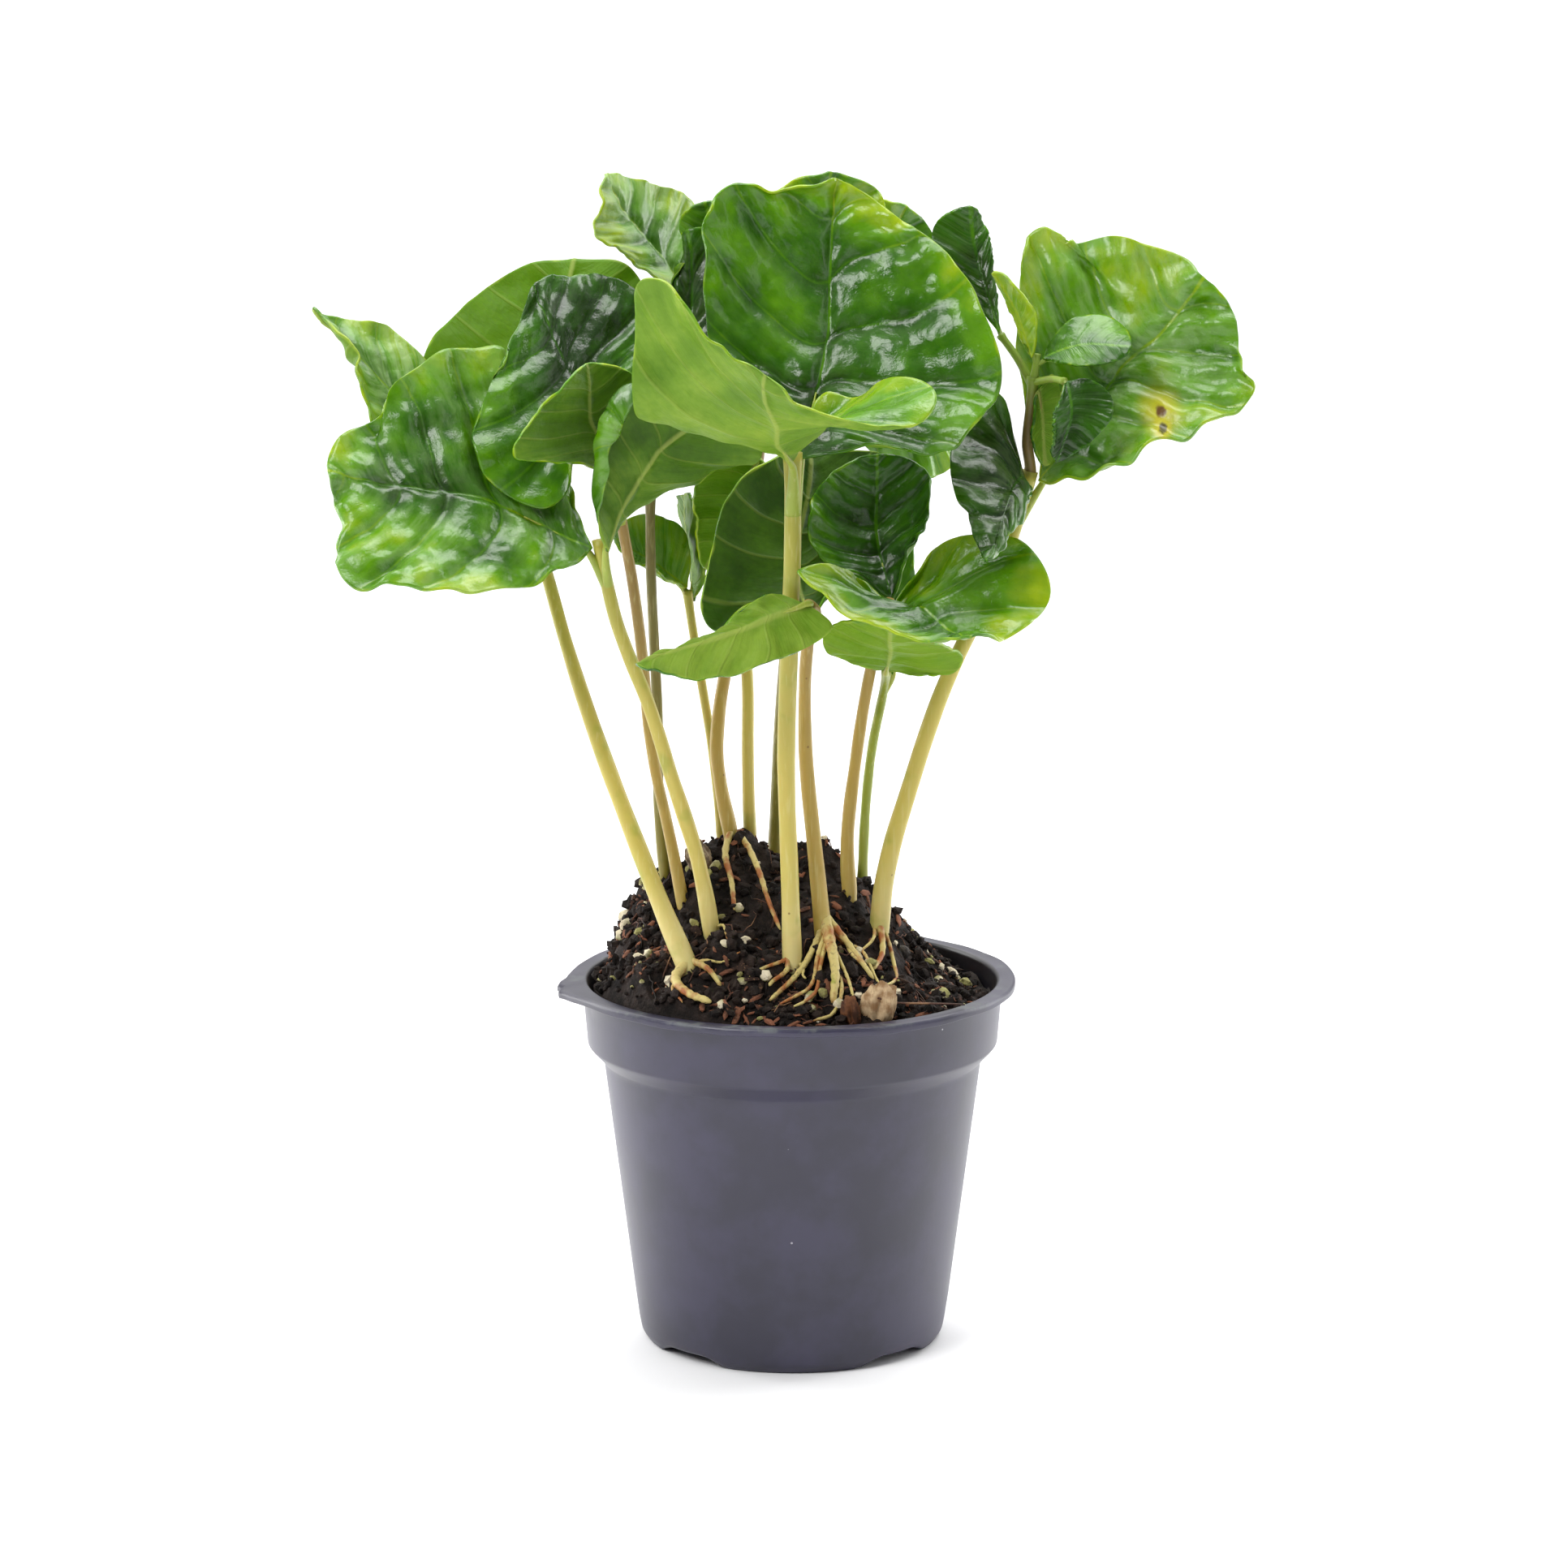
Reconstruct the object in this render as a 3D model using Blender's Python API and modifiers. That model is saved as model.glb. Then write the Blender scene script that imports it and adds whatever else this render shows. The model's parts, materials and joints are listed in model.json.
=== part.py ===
"""Coffee seedlings in a small round nursery pot: the solid model, in metres, standing on z = 0.

The pot's axis is the Z axis and its front is -Y. Plant dimensions below are in millimetres.
"""
import math
import random

import bmesh
import bpy
import numpy as np
from mathutils import Matrix, Vector

MM = 0.001

# Pot, in mm
POT_SIDES = 48
RIM_RADIUS = 35.0
RIM_TOP = 58.0
LIP_HEIGHT = 1.3
BAND_RADIUS_TOP = 32.9
BAND_RADIUS_LOW = 32.2
BAND_BOTTOM = 48.0
STEP_BOTTOM = 45.0
STEP_RADIUS = 29.7
HEEL_RADIUS = 24.3
HEEL_HEIGHT = 3.5
FOOT_RADIUS = 22.8
WALL = 0.9
FLOOR = 2.6
NOTCH_HEIGHT = 1.3
NOTCH_INNER = 18.5
NOTCH_SPREAD = 42.0
DRAIN_RADIUS = 1.8
DRAIN_PLACE = 20.2
TEAR_ANGLE = 186.0
TEAR_SPREAD = 11.0
TEAR_REACH = 1.9
TEAR_DROP = 0.7

# Soil, in mm
FIT = 0.3
SOIL_SIDES = 34
SOIL_RINGS = 9
SOIL_LEVEL = 55.4
MOUND_HEIGHT = 24.0
MOUND_TOP_Y = 4.0
SOIL_EDGE = 31.3
SOIL_EDGE_TOP = 56.8
SOIL_EDGE_RISE = 90.0
MOUND_X = (-31, -26, -24, -15, -9, -3, 3, 9, 12, 17, 20, 26, 31)
MOUND_SHARE = (0.0, 0.45, 0.62, 0.97, 1.0, 0.92, 0.95, 0.8, 0.72, 0.42, 0.2, 0.0, 0.0)
LUMP_HEIGHT = 0.55
LUMP_SEED = 11

# Stems: the path of the axis from the soil up, then its radius at the foot and at the top
STEM_SIDES = 8
STEM_RINGS = 11
STEM_DEPTH = 7.0
HOLE_FIT = 0.3
SEAT_GAP = 0.3
STEMS = {
    "01": ([(-16, -18, 64.5), (-20, -16, 72.5), (-26, -13, 87.5), (-30.5, -11, 99.5), (-35, -8, 113),
            (-38, -5, 123.5), (-42, -2, 136.5)], 2.1, 1.0),
    "02": ([(-12.5, -12, 69), (-14.5, -13, 79.5), (-18.5, -14, 92.5), (-22, -15, 104.5), (-26.5, -16, 116),
            (-28.5, -17, 124.5), (-29.5, -17, 130.5)], 1.45, 1.05),
    "03": ([(-16.5, -5, 67.5), (-19, -5, 81.5), (-22, -6, 96), (-23, -8, 109.5), (-24.5, -10, 122.5),
            (-26, -12, 131.5), (-27.5, -13, 140.5), (-29.2, -10.6, 148)], 1.0, 0.9),
    "04": ([(-20, 4, 73.5), (-21, 4, 83.5), (-21, 3, 97), (-21.5, 2, 110), (-22, 1, 123),
            (-22, 0, 135.5)], 0.9, 0.85),
    "05": ([(-11, 10, 77.5), (-12.5, 11, 91.5), (-14.5, 12, 104), (-16, 12, 113.5),
            (-16.5, 12, 117.5)], 0.85, 0.75),
    "06": ([(-9.5, 4, 79.5), (-11.5, 4, 89), (-12, 4, 96.5), (-10.5, 6, 105), (-9, 8, 116.5),
            (-7, 9, 128), (-5, 11, 141), (-4, 14, 148.5)], 1.2, 1.0),
    "07": ([(-6.5, 8, 78), (-7, 8, 88), (-7, 8, 96), (-7, 9, 105), (-8, 12, 116), (-9, 14, 128.5),
            (-11, 15, 144), (-13.5, 15, 162.5)], 1.1, 0.9),
    "08": ([(0, -17, 65.5), (-0.5, -18, 80.5), (-1, -19, 96), (-0.5, -21, 114.5), (0, -23, 129.5),
            (0, -24, 145)], 1.75, 1.6),
    "09": ([(5, -13, 70.5), (3.5, -13, 81), (2, -13, 96.5), (2, -14, 111), (2.6, -16, 116.5),
            (3.7, -19.5, 119.8), (3.5, -22.8, 121.2), (2.4, -25.6, 121.9)], 1.6, 0.9),
    "10": ([(9, -3, 73), (8.5, -3, 80), (9.5, -3, 90.5), (11.5, -3, 104.5), (13.5, -5, 114),
            (15, -9, 119.5)], 1.3, 0.85),
    "11": ([(11, 8, 71.5), (11.5, 7, 83), (12.5, 4, 94), (14, 0, 102.5), (14.5, -4, 106.5),
            (14.5, -8, 108.5)], 0.9, 0.75),
    "12": ([(13.5, -7, 68), (14.5, -7, 77), (17.5, -7, 87.5), (21, -7, 99), (24.5, -7, 108.5),
            (31, -7, 122), (34.5, -7, 131.5), (36.5, -7, 139.5)], 1.75, 1.15),
    "13": ([(-3, 14, 74.5), (-2.5, 16, 82.5), (-1.5, 19, 100), (0.5, 22, 119.5), (4.5, 26, 137),
            (7.5, 29, 148)], 1.2, 1.0),
}

# Bare roots: the stem they leave, how far up it they start, then points over the soil, and the radius
ROOT_LIFT = 0.75
ROOT_SIDES = 6
ROOTS = (
    ("01", 1.5, [(-18, -21), (-16, -25), (-12.5, -27.5)], 0.9),
    ("01", 1.5, [(-13, -20), (-11, -22)], 0.6),
    ("06", 1.5, [(-10.5, 0), (-9.5, -5), (-9, -10)], 0.6),
    ("08", 1.5, [(-1.5, -20), (-3.5, -22.5)], 0.5),
    ("09", 4.5, [(6.0, -17), (6.6, -21), (6.2, -25)], 1.0),
    ("09", 3.5, [(2.5, -17.5), (0.6, -20), (-1.4, -22.5), (-3.5, -25)], 0.6),
    ("09", 5.0, [(9, -14.5), (12.5, -19)], 0.6),
    ("12", 2.5, [(14, -11.5), (12.5, -16)], 0.6),
)

# Leaves. Each has its stem, its tip, the points of its left and right margins from the base to the
# tip (left as seen when standing on the top side at the base), how far the midrib sags, the cells of
# its grid, and the tone of the side that faces the front. A roll is a margin turned over: its
# radius, the middle and half width of the stretch in degrees from the tip, and where it starts.
LEAF_THICK = 0.6
WAVE_HEIGHT = 0.7
WAVE_COUNT = 5
WAVE_PHASE = 40.0
MIDRIB_BOW = 0.35
FOLD_SHARE = 0.3
LEAVES = {
    "01a": ("01", (-43, -3, 136), (-74, -3, 163.5),
            [(-52, -8, 134.5), (-61.5, -12, 138.5), (-65, -11, 148.5), (-65.5, -9.5, 155), (-67.5, -7, 159.5),
             (-71, -5, 162)],
            [(-63.5, 4, 160.5), (-56.5, 3, 155), (-47, 0, 146)], 1, (8, 8), "bright", None),
    "01b": ("01", (-41.5, 0, 136), (-34, 12, 170),
            [(-32.5, 6, 142.5), (-24, 9, 155), (-24.5, 11, 168)],
            [(-46, 9, 166.5), (-54.5, 7, 159.5), (-57, 8, 153.5), (-50, 4, 142.5)], 3, (8, 8), "lit", None),
    "02a": ("02", (-31, -18, 130), (-70, -26, 142.5),
            [(-34, -24, 127.5), (-41, -32, 126), (-50.5, -38, 126.5), (-64.5, -38, 127), (-68.5, -34, 130.5),
             (-68, -29, 133.5), (-68.5, -27, 137)],
            [(-69.5, -24.5, 145.5), (-67, -23, 148), (-64.5, -21, 149), (-62, -19.5, 150.5), (-61, -18, 153.5),
             (-58, -16, 156), (-53.5, -12.5, 158.5), (-48.5, -9, 159), (-44, -7, 158.5), (-37, -7, 149.5),
             (-34, -12, 138)], -1, (8, 10), "bright", None),
    "02b": ("02", (-29, -19, 130), (-9.5, -24, 154.5),
            [(-22, -15, 137), (-13, -16, 140), (-4.5, -20, 144.5)],
            [(-15.5, -27, 162), (-23.5, -29, 162.5), (-31.5, -27, 157.5), (-34, -25, 147.5),
             (-34, -23, 138.5)], -1, (10, 12), "under", (-2.0, 110, 60, 0.6)),
    "03a": ("03", (-27.5, -15.5, 141), (-31, -21, 158),
            [(-23.5, -15, 144.5), (-23, -15, 154.5)],
            [(-36, -25, 154), (-41.5, -28, 147), (-41.5, -28, 144.5), (-34.5, -23, 143.5)],
            -1, (8, 8), "lit", None),
    "03b": ("03", (-29.8, -9, 151.5), (-40, -2, 167.5),
            [(-33, -11.5, 150), (-34, -15.5, 143.5), (-34.5, -18.5, 138), (-38.5, -20.5, 136), (-46, -22, 140.5),
             (-48.5, -20.5, 146), (-47, -17, 151), (-45, -13, 155.5), (-42, -7, 161.5)],
            [(-34.5, 3, 168.5), (-27, 4, 167.5), (-21.5, 2, 163), (-22, -4, 156.5)], 0, (8, 10), "dark", None),
    "04a": ("04", (-22, 2, 135), (-24.5, 44, 139.5),
            [(-25.5, 10, 135.5), (-31, 22, 137.5), (-30.5, 36, 139.5)],
            [(-15, 36, 138), (-13.5, 22, 135), (-17.5, 12, 134)], -4, (8, 6), "dark", None),
    "04b": ("04", (-22, 0, 137), (-16, 9, 175),
            [(-21.5, 3, 145.5), (-20, 6, 158), (-18.5, 8, 166), (-16, 9, 170.5)],
            [(-8.5, 6, 174.5), (-5, 5, 167), (-6, 0, 153.5), (-13.5, -1, 141)], 2, (8, 8), "dark", None),
    "05a": ("05", (-16.6, 12, 119), (-28, 4, 127.5),
            [(-20, 5, 121), (-24, 2, 124)],
            [(-24, 12, 129.5), (-18, 16, 127.5), (-16, 14, 122.5)], 1, (6, 6), "pale", None),
    "05b": ("05", (-15.5, 13, 115.5), (-17, 20, 131.5),
            [(-13.5, 11, 121), (-14, 10, 128), (-15.5, 11, 132.5)],
            [(-18, 32, 128), (-16.5, 30, 120.5), (-15.5, 22, 116.5)], 0, (6, 6), "dark", None),
    "06a": ("06", (-3.7, 15, 150), (6, 18, 182.5),
            [(-6.5, 17, 159), (-6.5, 17, 171.5), (-2, 17, 180)],
            [(14, 20, 178.5), (14.5, 22, 167), (7, 20, 154.5)], 3, (8, 6), "dark", None),
    "06b": ("06", (-5.5, 8, 140), (-13.5, 6, 122),
            [(-9.5, 4, 139.5), (-14.5, 4, 136), (-15, 5, 128.5)],
            [(-6, 5, 122.5), (-2.5, 4, 129), (-2.5, 6, 136)], -2, (6, 6), "lit", None),
    "07a": ("07", (-14.5, 15.5, 161.5), (-29, 8, 183.5),
            [(-18.5, 11, 165.5), (-23, 8, 169), (-28, 5, 172.5), (-30, 4, 175.5), (-29.5, 5, 180)],
            [(-23.5, 16, 181.5), (-15.5, 24, 177.5), (-11.5, 24, 171)], 1, (8, 8), "bright", None),
    "07b": ("07", (-13, 12.5, 161.5), (-13.5, 10, 179),
            [(-14.5, 11, 168), (-17.5, 11, 175.5)],
            [(-6, 9, 177.5), (-2, 9, 170), (-6, 11, 163)], 1, (6, 6), "bright", None),
    "08a": ("08", (-0.5, -26.5, 144), (-4.5, -56, 161),
            [(5, -26, 154), (9, -28, 154), (12, -31, 156.5), (15.5, -34, 158), (19.5, -37, 158),
             (21.5, -41, 155.5), (19, -45, 152.5), (13, -47, 153), (5.5, -50, 154.5), (-0.5, -54, 157.5)],
            [(-10, -57, 166), (-17.5, -54.5, 173.5), (-22, -51, 174.5), (-23, -48, 170.5), (-23.5, -42, 157.5),
             (-22, -38, 152.5), (-11.5, -32.5, 153), (-4.5, -29.5, 151), (-2, -27.5, 148)],
            3, (10, 10), "under", None),
    "08b": ("08", (1, -22, 144), (6.5, -6, 184.5),
            [(-5.5, -19, 149), (-12, -15, 159.5), (-13.5, -13, 171.5), (-13.5, -12, 178), (-10.5, -11, 183),
             (-7.5, -10.5, 184), (-2, -9.5, 183), (3, -8, 184.3)],
            [(15, -8, 179.5), (24.5, -13, 173), (31, -19, 160), (29, -23, 151), (22.5, -26, 145),
             (11.5, -24, 146)], 4, (8, 10), "bright", None),
    "09a": ("09", (1.7, -28, 122.8), (-23.5, -36, 115),
            [(-3.5, -27.5, 124), (-9.5, -30, 120), (-15.5, -33, 117)],
            [(-21.5, -38, 114), (-14, -38, 113), (-5, -34, 114), (3, -29, 116.5), (6, -27.5, 119)],
            1, (8, 6), "under", None),
    "09b": ("09", (3.2, -14, 118), (3, 2, 141),
            [(6.5, -6, 124), (10.5, 3, 130.5), (14, 8, 139.5)],
            [(-2.5, -4, 141.5), (-9.5, -8, 136), (-12.5, -11, 127.5), (-14, -14, 120), (-12, -15, 116.5),
             (-6, -15, 120.5)], -2, (8, 8), "under", None),
    "10a": ("10", (16, -12.5, 120), (26.5, -41, 119.5),
            [(17.5, -15, 123.5), (23, -17, 130), (29, -20, 132), (35.5, -22, 130.5), (39, -26, 123.5),
             (32.5, -34, 118.5)],
            [(20.5, -40, 120), (10, -38, 121.5), (3.5, -34, 125), (1.5, -30, 129), (7.5, -22, 126.5),
             (13, -15, 122)], 1, (8, 10), "bright", None),
    "10b": ("10", (15.5, -8, 120), (13, 1, 141),
            [(10, -9, 123.5), (4, -8, 127), (2.5, -6, 133), (6.5, -2, 138.5)],
            [(20, 0, 139), (21.5, -2, 135.5), (19.5, -6, 129.5), (17, -8, 124.5)], 3, (8, 6), "dark", None),
    "11a": ("11", (14, -11, 109), (15, -28, 120),
            [(18.5, -12, 108.5), (23.5, -13, 109), (26, -16, 112)],
            [(6.5, -23, 118.5), (4.8, -19, 114.5), (10.5, -13, 110)], 0, (8, 6), "lit", None),
    "11b": ("11", (15.5, -4, 107), (12.5, 12, 135.5),
            [(10.5, 3, 113.5), (7, 6, 122), (7, 8, 129.5)],
            [(18.5, 10, 130.5), (19, 6, 122), (18, 1, 114)], 2, (6, 6), "dark", None),
    "12a": ("12", (38.4, -6.8, 138.6), (63.5, -3, 169),
            [(38.4, -5, 143.5), (35, -3.5, 151.5), (35, 0, 167.5), (36, 1, 174), (38, 3, 175.5), (41, 3.5, 174.5),
             (42.5, 2.5, 173.5), (49, 2, 174.5), (57.5, 0, 172.5)],
            [(67.5, -6, 163), (68, -8, 158), (70.5, -10, 153), (68, -12, 149.5), (61, -15, 147.5),
             (56, -17, 146.3), (51.5, -18.5, 142.5), (44.5, -16, 140), (40, -11, 138.5)],
            2, (10, 10), "bright", None),
    "12b": ("12", (35.5, -9, 139), (29, -34, 130),
            [(36, -16, 137), (32.5, -28, 133)],
            [(26.5, -26, 135), (24, -20, 140.5), (24.5, -14, 145), (27.5, -10, 150), (30.5, -8, 152.5),
             (33.5, -7, 146)], -3, (8, 8), "dark", None),
    "13a": ("13", (7.8, 29.5, 150), (18, 30, 176),
            [(7, 26, 160.5), (9.5, 26, 172), (14, 28, 177)],
            [(22.5, 32, 171), (25, 34, 163), (18.5, 32, 153)], 3, (8, 6), "bright", None),
    "13b": ("13", (9, 30.5, 145.5), (28, 38, 139),
            [(13.5, 34, 151.5), (22.5, 38, 148)],
            [(25.5, 34, 134), (20.5, 31, 132.5), (11, 29, 138.5)], -3, (6, 6), "bright", None),
}

# The young shoot on stem 12: its axis, its leaf stalks and its true leaves
SHOOT_RINGS = 5
SHOOT_BARS = {
    "axis": ([(36.5, -7.1, 140.1), (36, -8, 144), (36.5, -9, 150), (36.8, -9.5, 154.5)], 0.75, 0.75),
    "bud": ([(36.8, -9.5, 153.5), (37.1, -9.7, 156), (37.4, -9.8, 158)], 0.7, 0.35),
    "stalk_rear": ([(36.6, -9.3, 153), (34.4, -8, 157), (31.8, -6.5, 160.5)], 0.55, 0.5),
    "stalk_front": ([(36.8, -9.6, 153.6), (39.5, -13, 154.6), (41.3, -15.5, 154.6)], 0.5, 0.45),
}
TRUE_LEAVES = {
    "t1": ("bud", (36.2, -10.6, 157.6), (30.5, -12, 171),
           [(35, -10.5, 160), (33.5, -10.5, 164), (31.3, -11, 168.5)],
           [(32.5, -13.5, 170), (35.5, -14, 167), (37, -13.5, 163.5), (37, -12, 160)], 0.3, (6, 4), "bright"),
    "t2": ("bud", (38.4, -10, 157.2), (51.5, -14, 159.5),
           [(39.5, -9, 160), (42.5, -7.5, 163), (45.5, -6.5, 163.5), (49, -7, 163), (51, -9, 161.5)],
           [(50, -15, 158), (46, -15, 157), (41.8, -14, 157), (39.5, -12, 157.3)], -1, (6, 6), "bright"),
    "t3": ("stalk_front", (41.9, -16.3, 154.4), (40, -20, 143),
           [(44.5, -16.5, 155.2), (47, -17, 154), (48.5, -18, 152), (48, -19, 149), (44.5, -19.8, 145.5)],
           [(39.5, -21, 146), (39.5, -20.5, 149.5), (40.8, -18.7, 153)], -1, (6, 6), "dark"),
    "t4": ("axis", (37.6, -10.8, 152.4), (38.5, -11.5, 141),
           [(36.8, -11.9, 149), (36.6, -12, 144.5)],
           [(40, -10.6, 142), (41, -10.6, 147), (41, -10.4, 152), (39.6, -10.2, 155)], -0.3, (6, 4), "lit"),
    "t5": ("stalk_rear", (31.2, -5.9, 161.3), (27.3, 0, 179.5),
           [(27.5, -2, 166), (21.5, 0, 173.5), (22.5, 0, 177.5)],
           [(29.5, 0, 177), (30.7, -2, 171), (31.2, -4, 165)], 0.5, (6, 6), "dark"),
}

# Seed husks: centre, half sizes and turn about Y in degrees
HUSKS = {
    "husk_pale": ((13.2, -26.2, 59.0), (2.8, 1.7, 3.4), 12.0, 0xC9A878, 0.75),
    "husk_brown": ((9.0, -27.4, 58.6), (1.5, 1.1, 3.0), -10.0, 0x6B4026, 0.7),
    "husk_left": ((-14.6, -0.6, 77.4), (2.0, 1.6, 2.6), -25.0, 0x8E7C66, 0.8),
}

TONES = {
    "bright": (0x3E8A14, 0.32),
    "dark": (0x124A12, 0.25),
    "lit": (0x79A51E, 0.45),
    "pale": (0x9DB36A, 0.4),
    "under": (0x7E9F4C, 0.55),
}
STEM_TONES = {
    "01": 0xC9C06A, "02": 0xD3CB78, "03": 0xB59A66, "04": 0x8D8450, "05": 0xB9B46A, "06": 0xB08A5A,
    "07": 0xB5B14E, "08": 0xD3CB7C, "09": 0xC2A178, "10": 0xBE9A66, "11": 0x9EA848, "12": 0xD8CF96,
    "13": 0x7C7440,
}


def linear(code):
    """Colour code as linear red, green, blue and alpha."""
    parts = [((code >> shift) & 255) / 255 for shift in (16, 8, 0)]
    return [c / 12.92 if c <= 0.04045 else ((c + 0.055) / 1.055) ** 2.4 for c in parts] + [1.0]


def make_material(name, code, roughness):
    material = bpy.data.materials.new(name)
    material.use_nodes = True
    shader = material.node_tree.nodes["Principled BSDF"]
    shader.inputs["Base Color"].default_value = linear(code)
    shader.inputs["Roughness"].default_value = roughness
    shader.inputs["Metallic"].default_value = 0.0
    material.diffuse_color = linear(code)
    return material


def add_object(name, mesh, collection, code=None, roughness=0.5):
    thing = bpy.data.objects.new(name, mesh)
    collection.objects.link(thing)
    if code is not None:
        mesh.materials.append(make_material(name + "_look", code, roughness))
    return thing


def activate(thing):
    for other in bpy.context.selected_objects:
        other.select_set(False)
    bpy.context.view_layer.objects.active = thing
    thing.select_set(True)


def apply_modifiers(thing):
    activate(thing)
    for modifier in list(thing.modifiers):
        bpy.ops.object.modifier_apply(modifier=modifier.name)


def cut(thing, cutter, operation="DIFFERENCE", solver="EXACT"):
    modifier = thing.modifiers.new("cut", "BOOLEAN")
    modifier.operation = operation
    modifier.solver = solver
    modifier.object = cutter
    apply_modifiers(thing)


def drop(thing):
    mesh = thing.data
    bpy.data.objects.remove(thing)
    if mesh.users == 0:
        bpy.data.meshes.remove(mesh)


def clean(mesh):
    """Weld doubles, turn every face outward and split what isn't flat."""
    work = bmesh.new()
    work.from_mesh(mesh)
    bmesh.ops.remove_doubles(work, verts=work.verts, dist=0.000005)
    bmesh.ops.triangulate(work, faces=work.faces)
    bmesh.ops.recalc_face_normals(work, faces=work.faces)
    work.to_mesh(mesh)
    work.free()


def smooth_shade(thing, angle=40):
    activate(thing)
    bpy.ops.object.shade_smooth()
    thing.data.set_sharp_from_angle(angle=math.radians(angle))


def unit(vector):
    return vector / np.linalg.norm(vector)


def smooth_curve(knots, values, places):
    """Cubic through the values at rising knots, with centred slopes."""
    knots = np.asarray(knots, float)
    values = np.asarray(values, float)
    slopes = np.zeros_like(values)
    slopes[1:-1] = (values[2:] - values[:-2]) / (knots[2:] - knots[:-2])[:, None]
    slopes[0] = (values[1] - values[0]) / (knots[1] - knots[0])
    slopes[-1] = (values[-1] - values[-2]) / (knots[-1] - knots[-2])
    index = np.clip(np.searchsorted(knots, places, side="right") - 1, 0, len(knots) - 2)
    span = knots[index + 1] - knots[index]
    share = ((places - knots[index]) / span)[..., None]
    span = span[..., None]
    return ((1 + 2 * share) * (1 - share) ** 2 * values[index]
            + share * (1 - share) ** 2 * span * slopes[index]
            + share * share * (3 - 2 * share) * values[index + 1]
            + share * share * (share - 1) * span * slopes[index + 1])


def stem_path(points, count):
    """Evenly spaced points on the smooth path through the given ones."""
    points = np.array(points, float)
    steps = np.linalg.norm(np.diff(points, axis=0), axis=1)
    knots = np.concatenate([[0.0], np.cumsum(steps)])
    return smooth_curve(knots, points, np.linspace(0, knots[-1], count))


def soil_height(x, y):
    """Height of the soil's surface in mm: a lumpy mound, steeper at the back than at the front."""
    share = np.interp(x, MOUND_X, MOUND_SHARE)
    front = np.clip((y + SOIL_EDGE) / (SOIL_EDGE + MOUND_TOP_Y), 0, 1)
    back = np.clip((SOIL_EDGE - y) / (SOIL_EDGE - MOUND_TOP_Y), 0, 1) ** 0.8
    slope = np.minimum(front, back)
    dice = random.Random(LUMP_SEED)
    lumps = 0.0
    for wave in range(6):
        turn = dice.uniform(0, math.pi)
        length = dice.uniform(7, 16)
        start = dice.uniform(0, 2 * math.pi)
        lumps = lumps + np.sin((x * math.cos(turn) + y * math.sin(turn)) * 2 * math.pi / length + start)
    return SOIL_LEVEL + MOUND_HEIGHT * share * slope + LUMP_HEIGHT * lumps


def tube(name, path, radius_low, radius_top, sides, collection):
    """A round bar along the path, closed at both ends, as a mesh object."""
    data = bpy.data.curves.new(name + "_curve", "CURVE")
    data.dimensions = "3D"
    data.bevel_depth = MM
    data.bevel_resolution = (sides - 4) // 2
    data.use_fill_caps = True
    spline = data.splines.new("POLY")
    spline.points.add(len(path) - 1)
    for index, place in enumerate(path):
        spline.points[index].co = (place[0] * MM, place[1] * MM, place[2] * MM, 1)
        share = index / (len(path) - 1)
        spline.points[index].radius = radius_low + (radius_top - radius_low) * share
    curve = bpy.data.objects.new(name + "_curve", data)
    collection.objects.link(curve)
    graph = bpy.context.evaluated_depsgraph_get()
    mesh = bpy.data.meshes.new_from_object(curve.evaluated_get(graph))
    thing = bpy.data.objects.new(name, mesh)
    thing.matrix_world = curve.matrix_world
    collection.objects.link(thing)
    bpy.data.objects.remove(curve)
    clean(mesh)
    return thing


def screw(name, profile, steps, collection):
    """Turn an open profile of (radius, height) that ends on the axis at both ends into a body."""
    mesh = bpy.data.meshes.new(name)
    places = [(radius * MM, 0, height * MM) for radius, height in profile]
    mesh.from_pydata(places, [(i, i + 1) for i in range(len(places) - 1)], [])
    thing = bpy.data.objects.new(name, mesh)
    collection.objects.link(thing)
    modifier = thing.modifiers.new("turn", "SCREW")
    modifier.axis = "Z"
    modifier.steps = steps
    modifier.render_steps = steps
    modifier.use_merge_vertices = True
    modifier.merge_threshold = 0.00001
    apply_modifiers(thing)
    clean(thing.data)
    return thing


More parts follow.
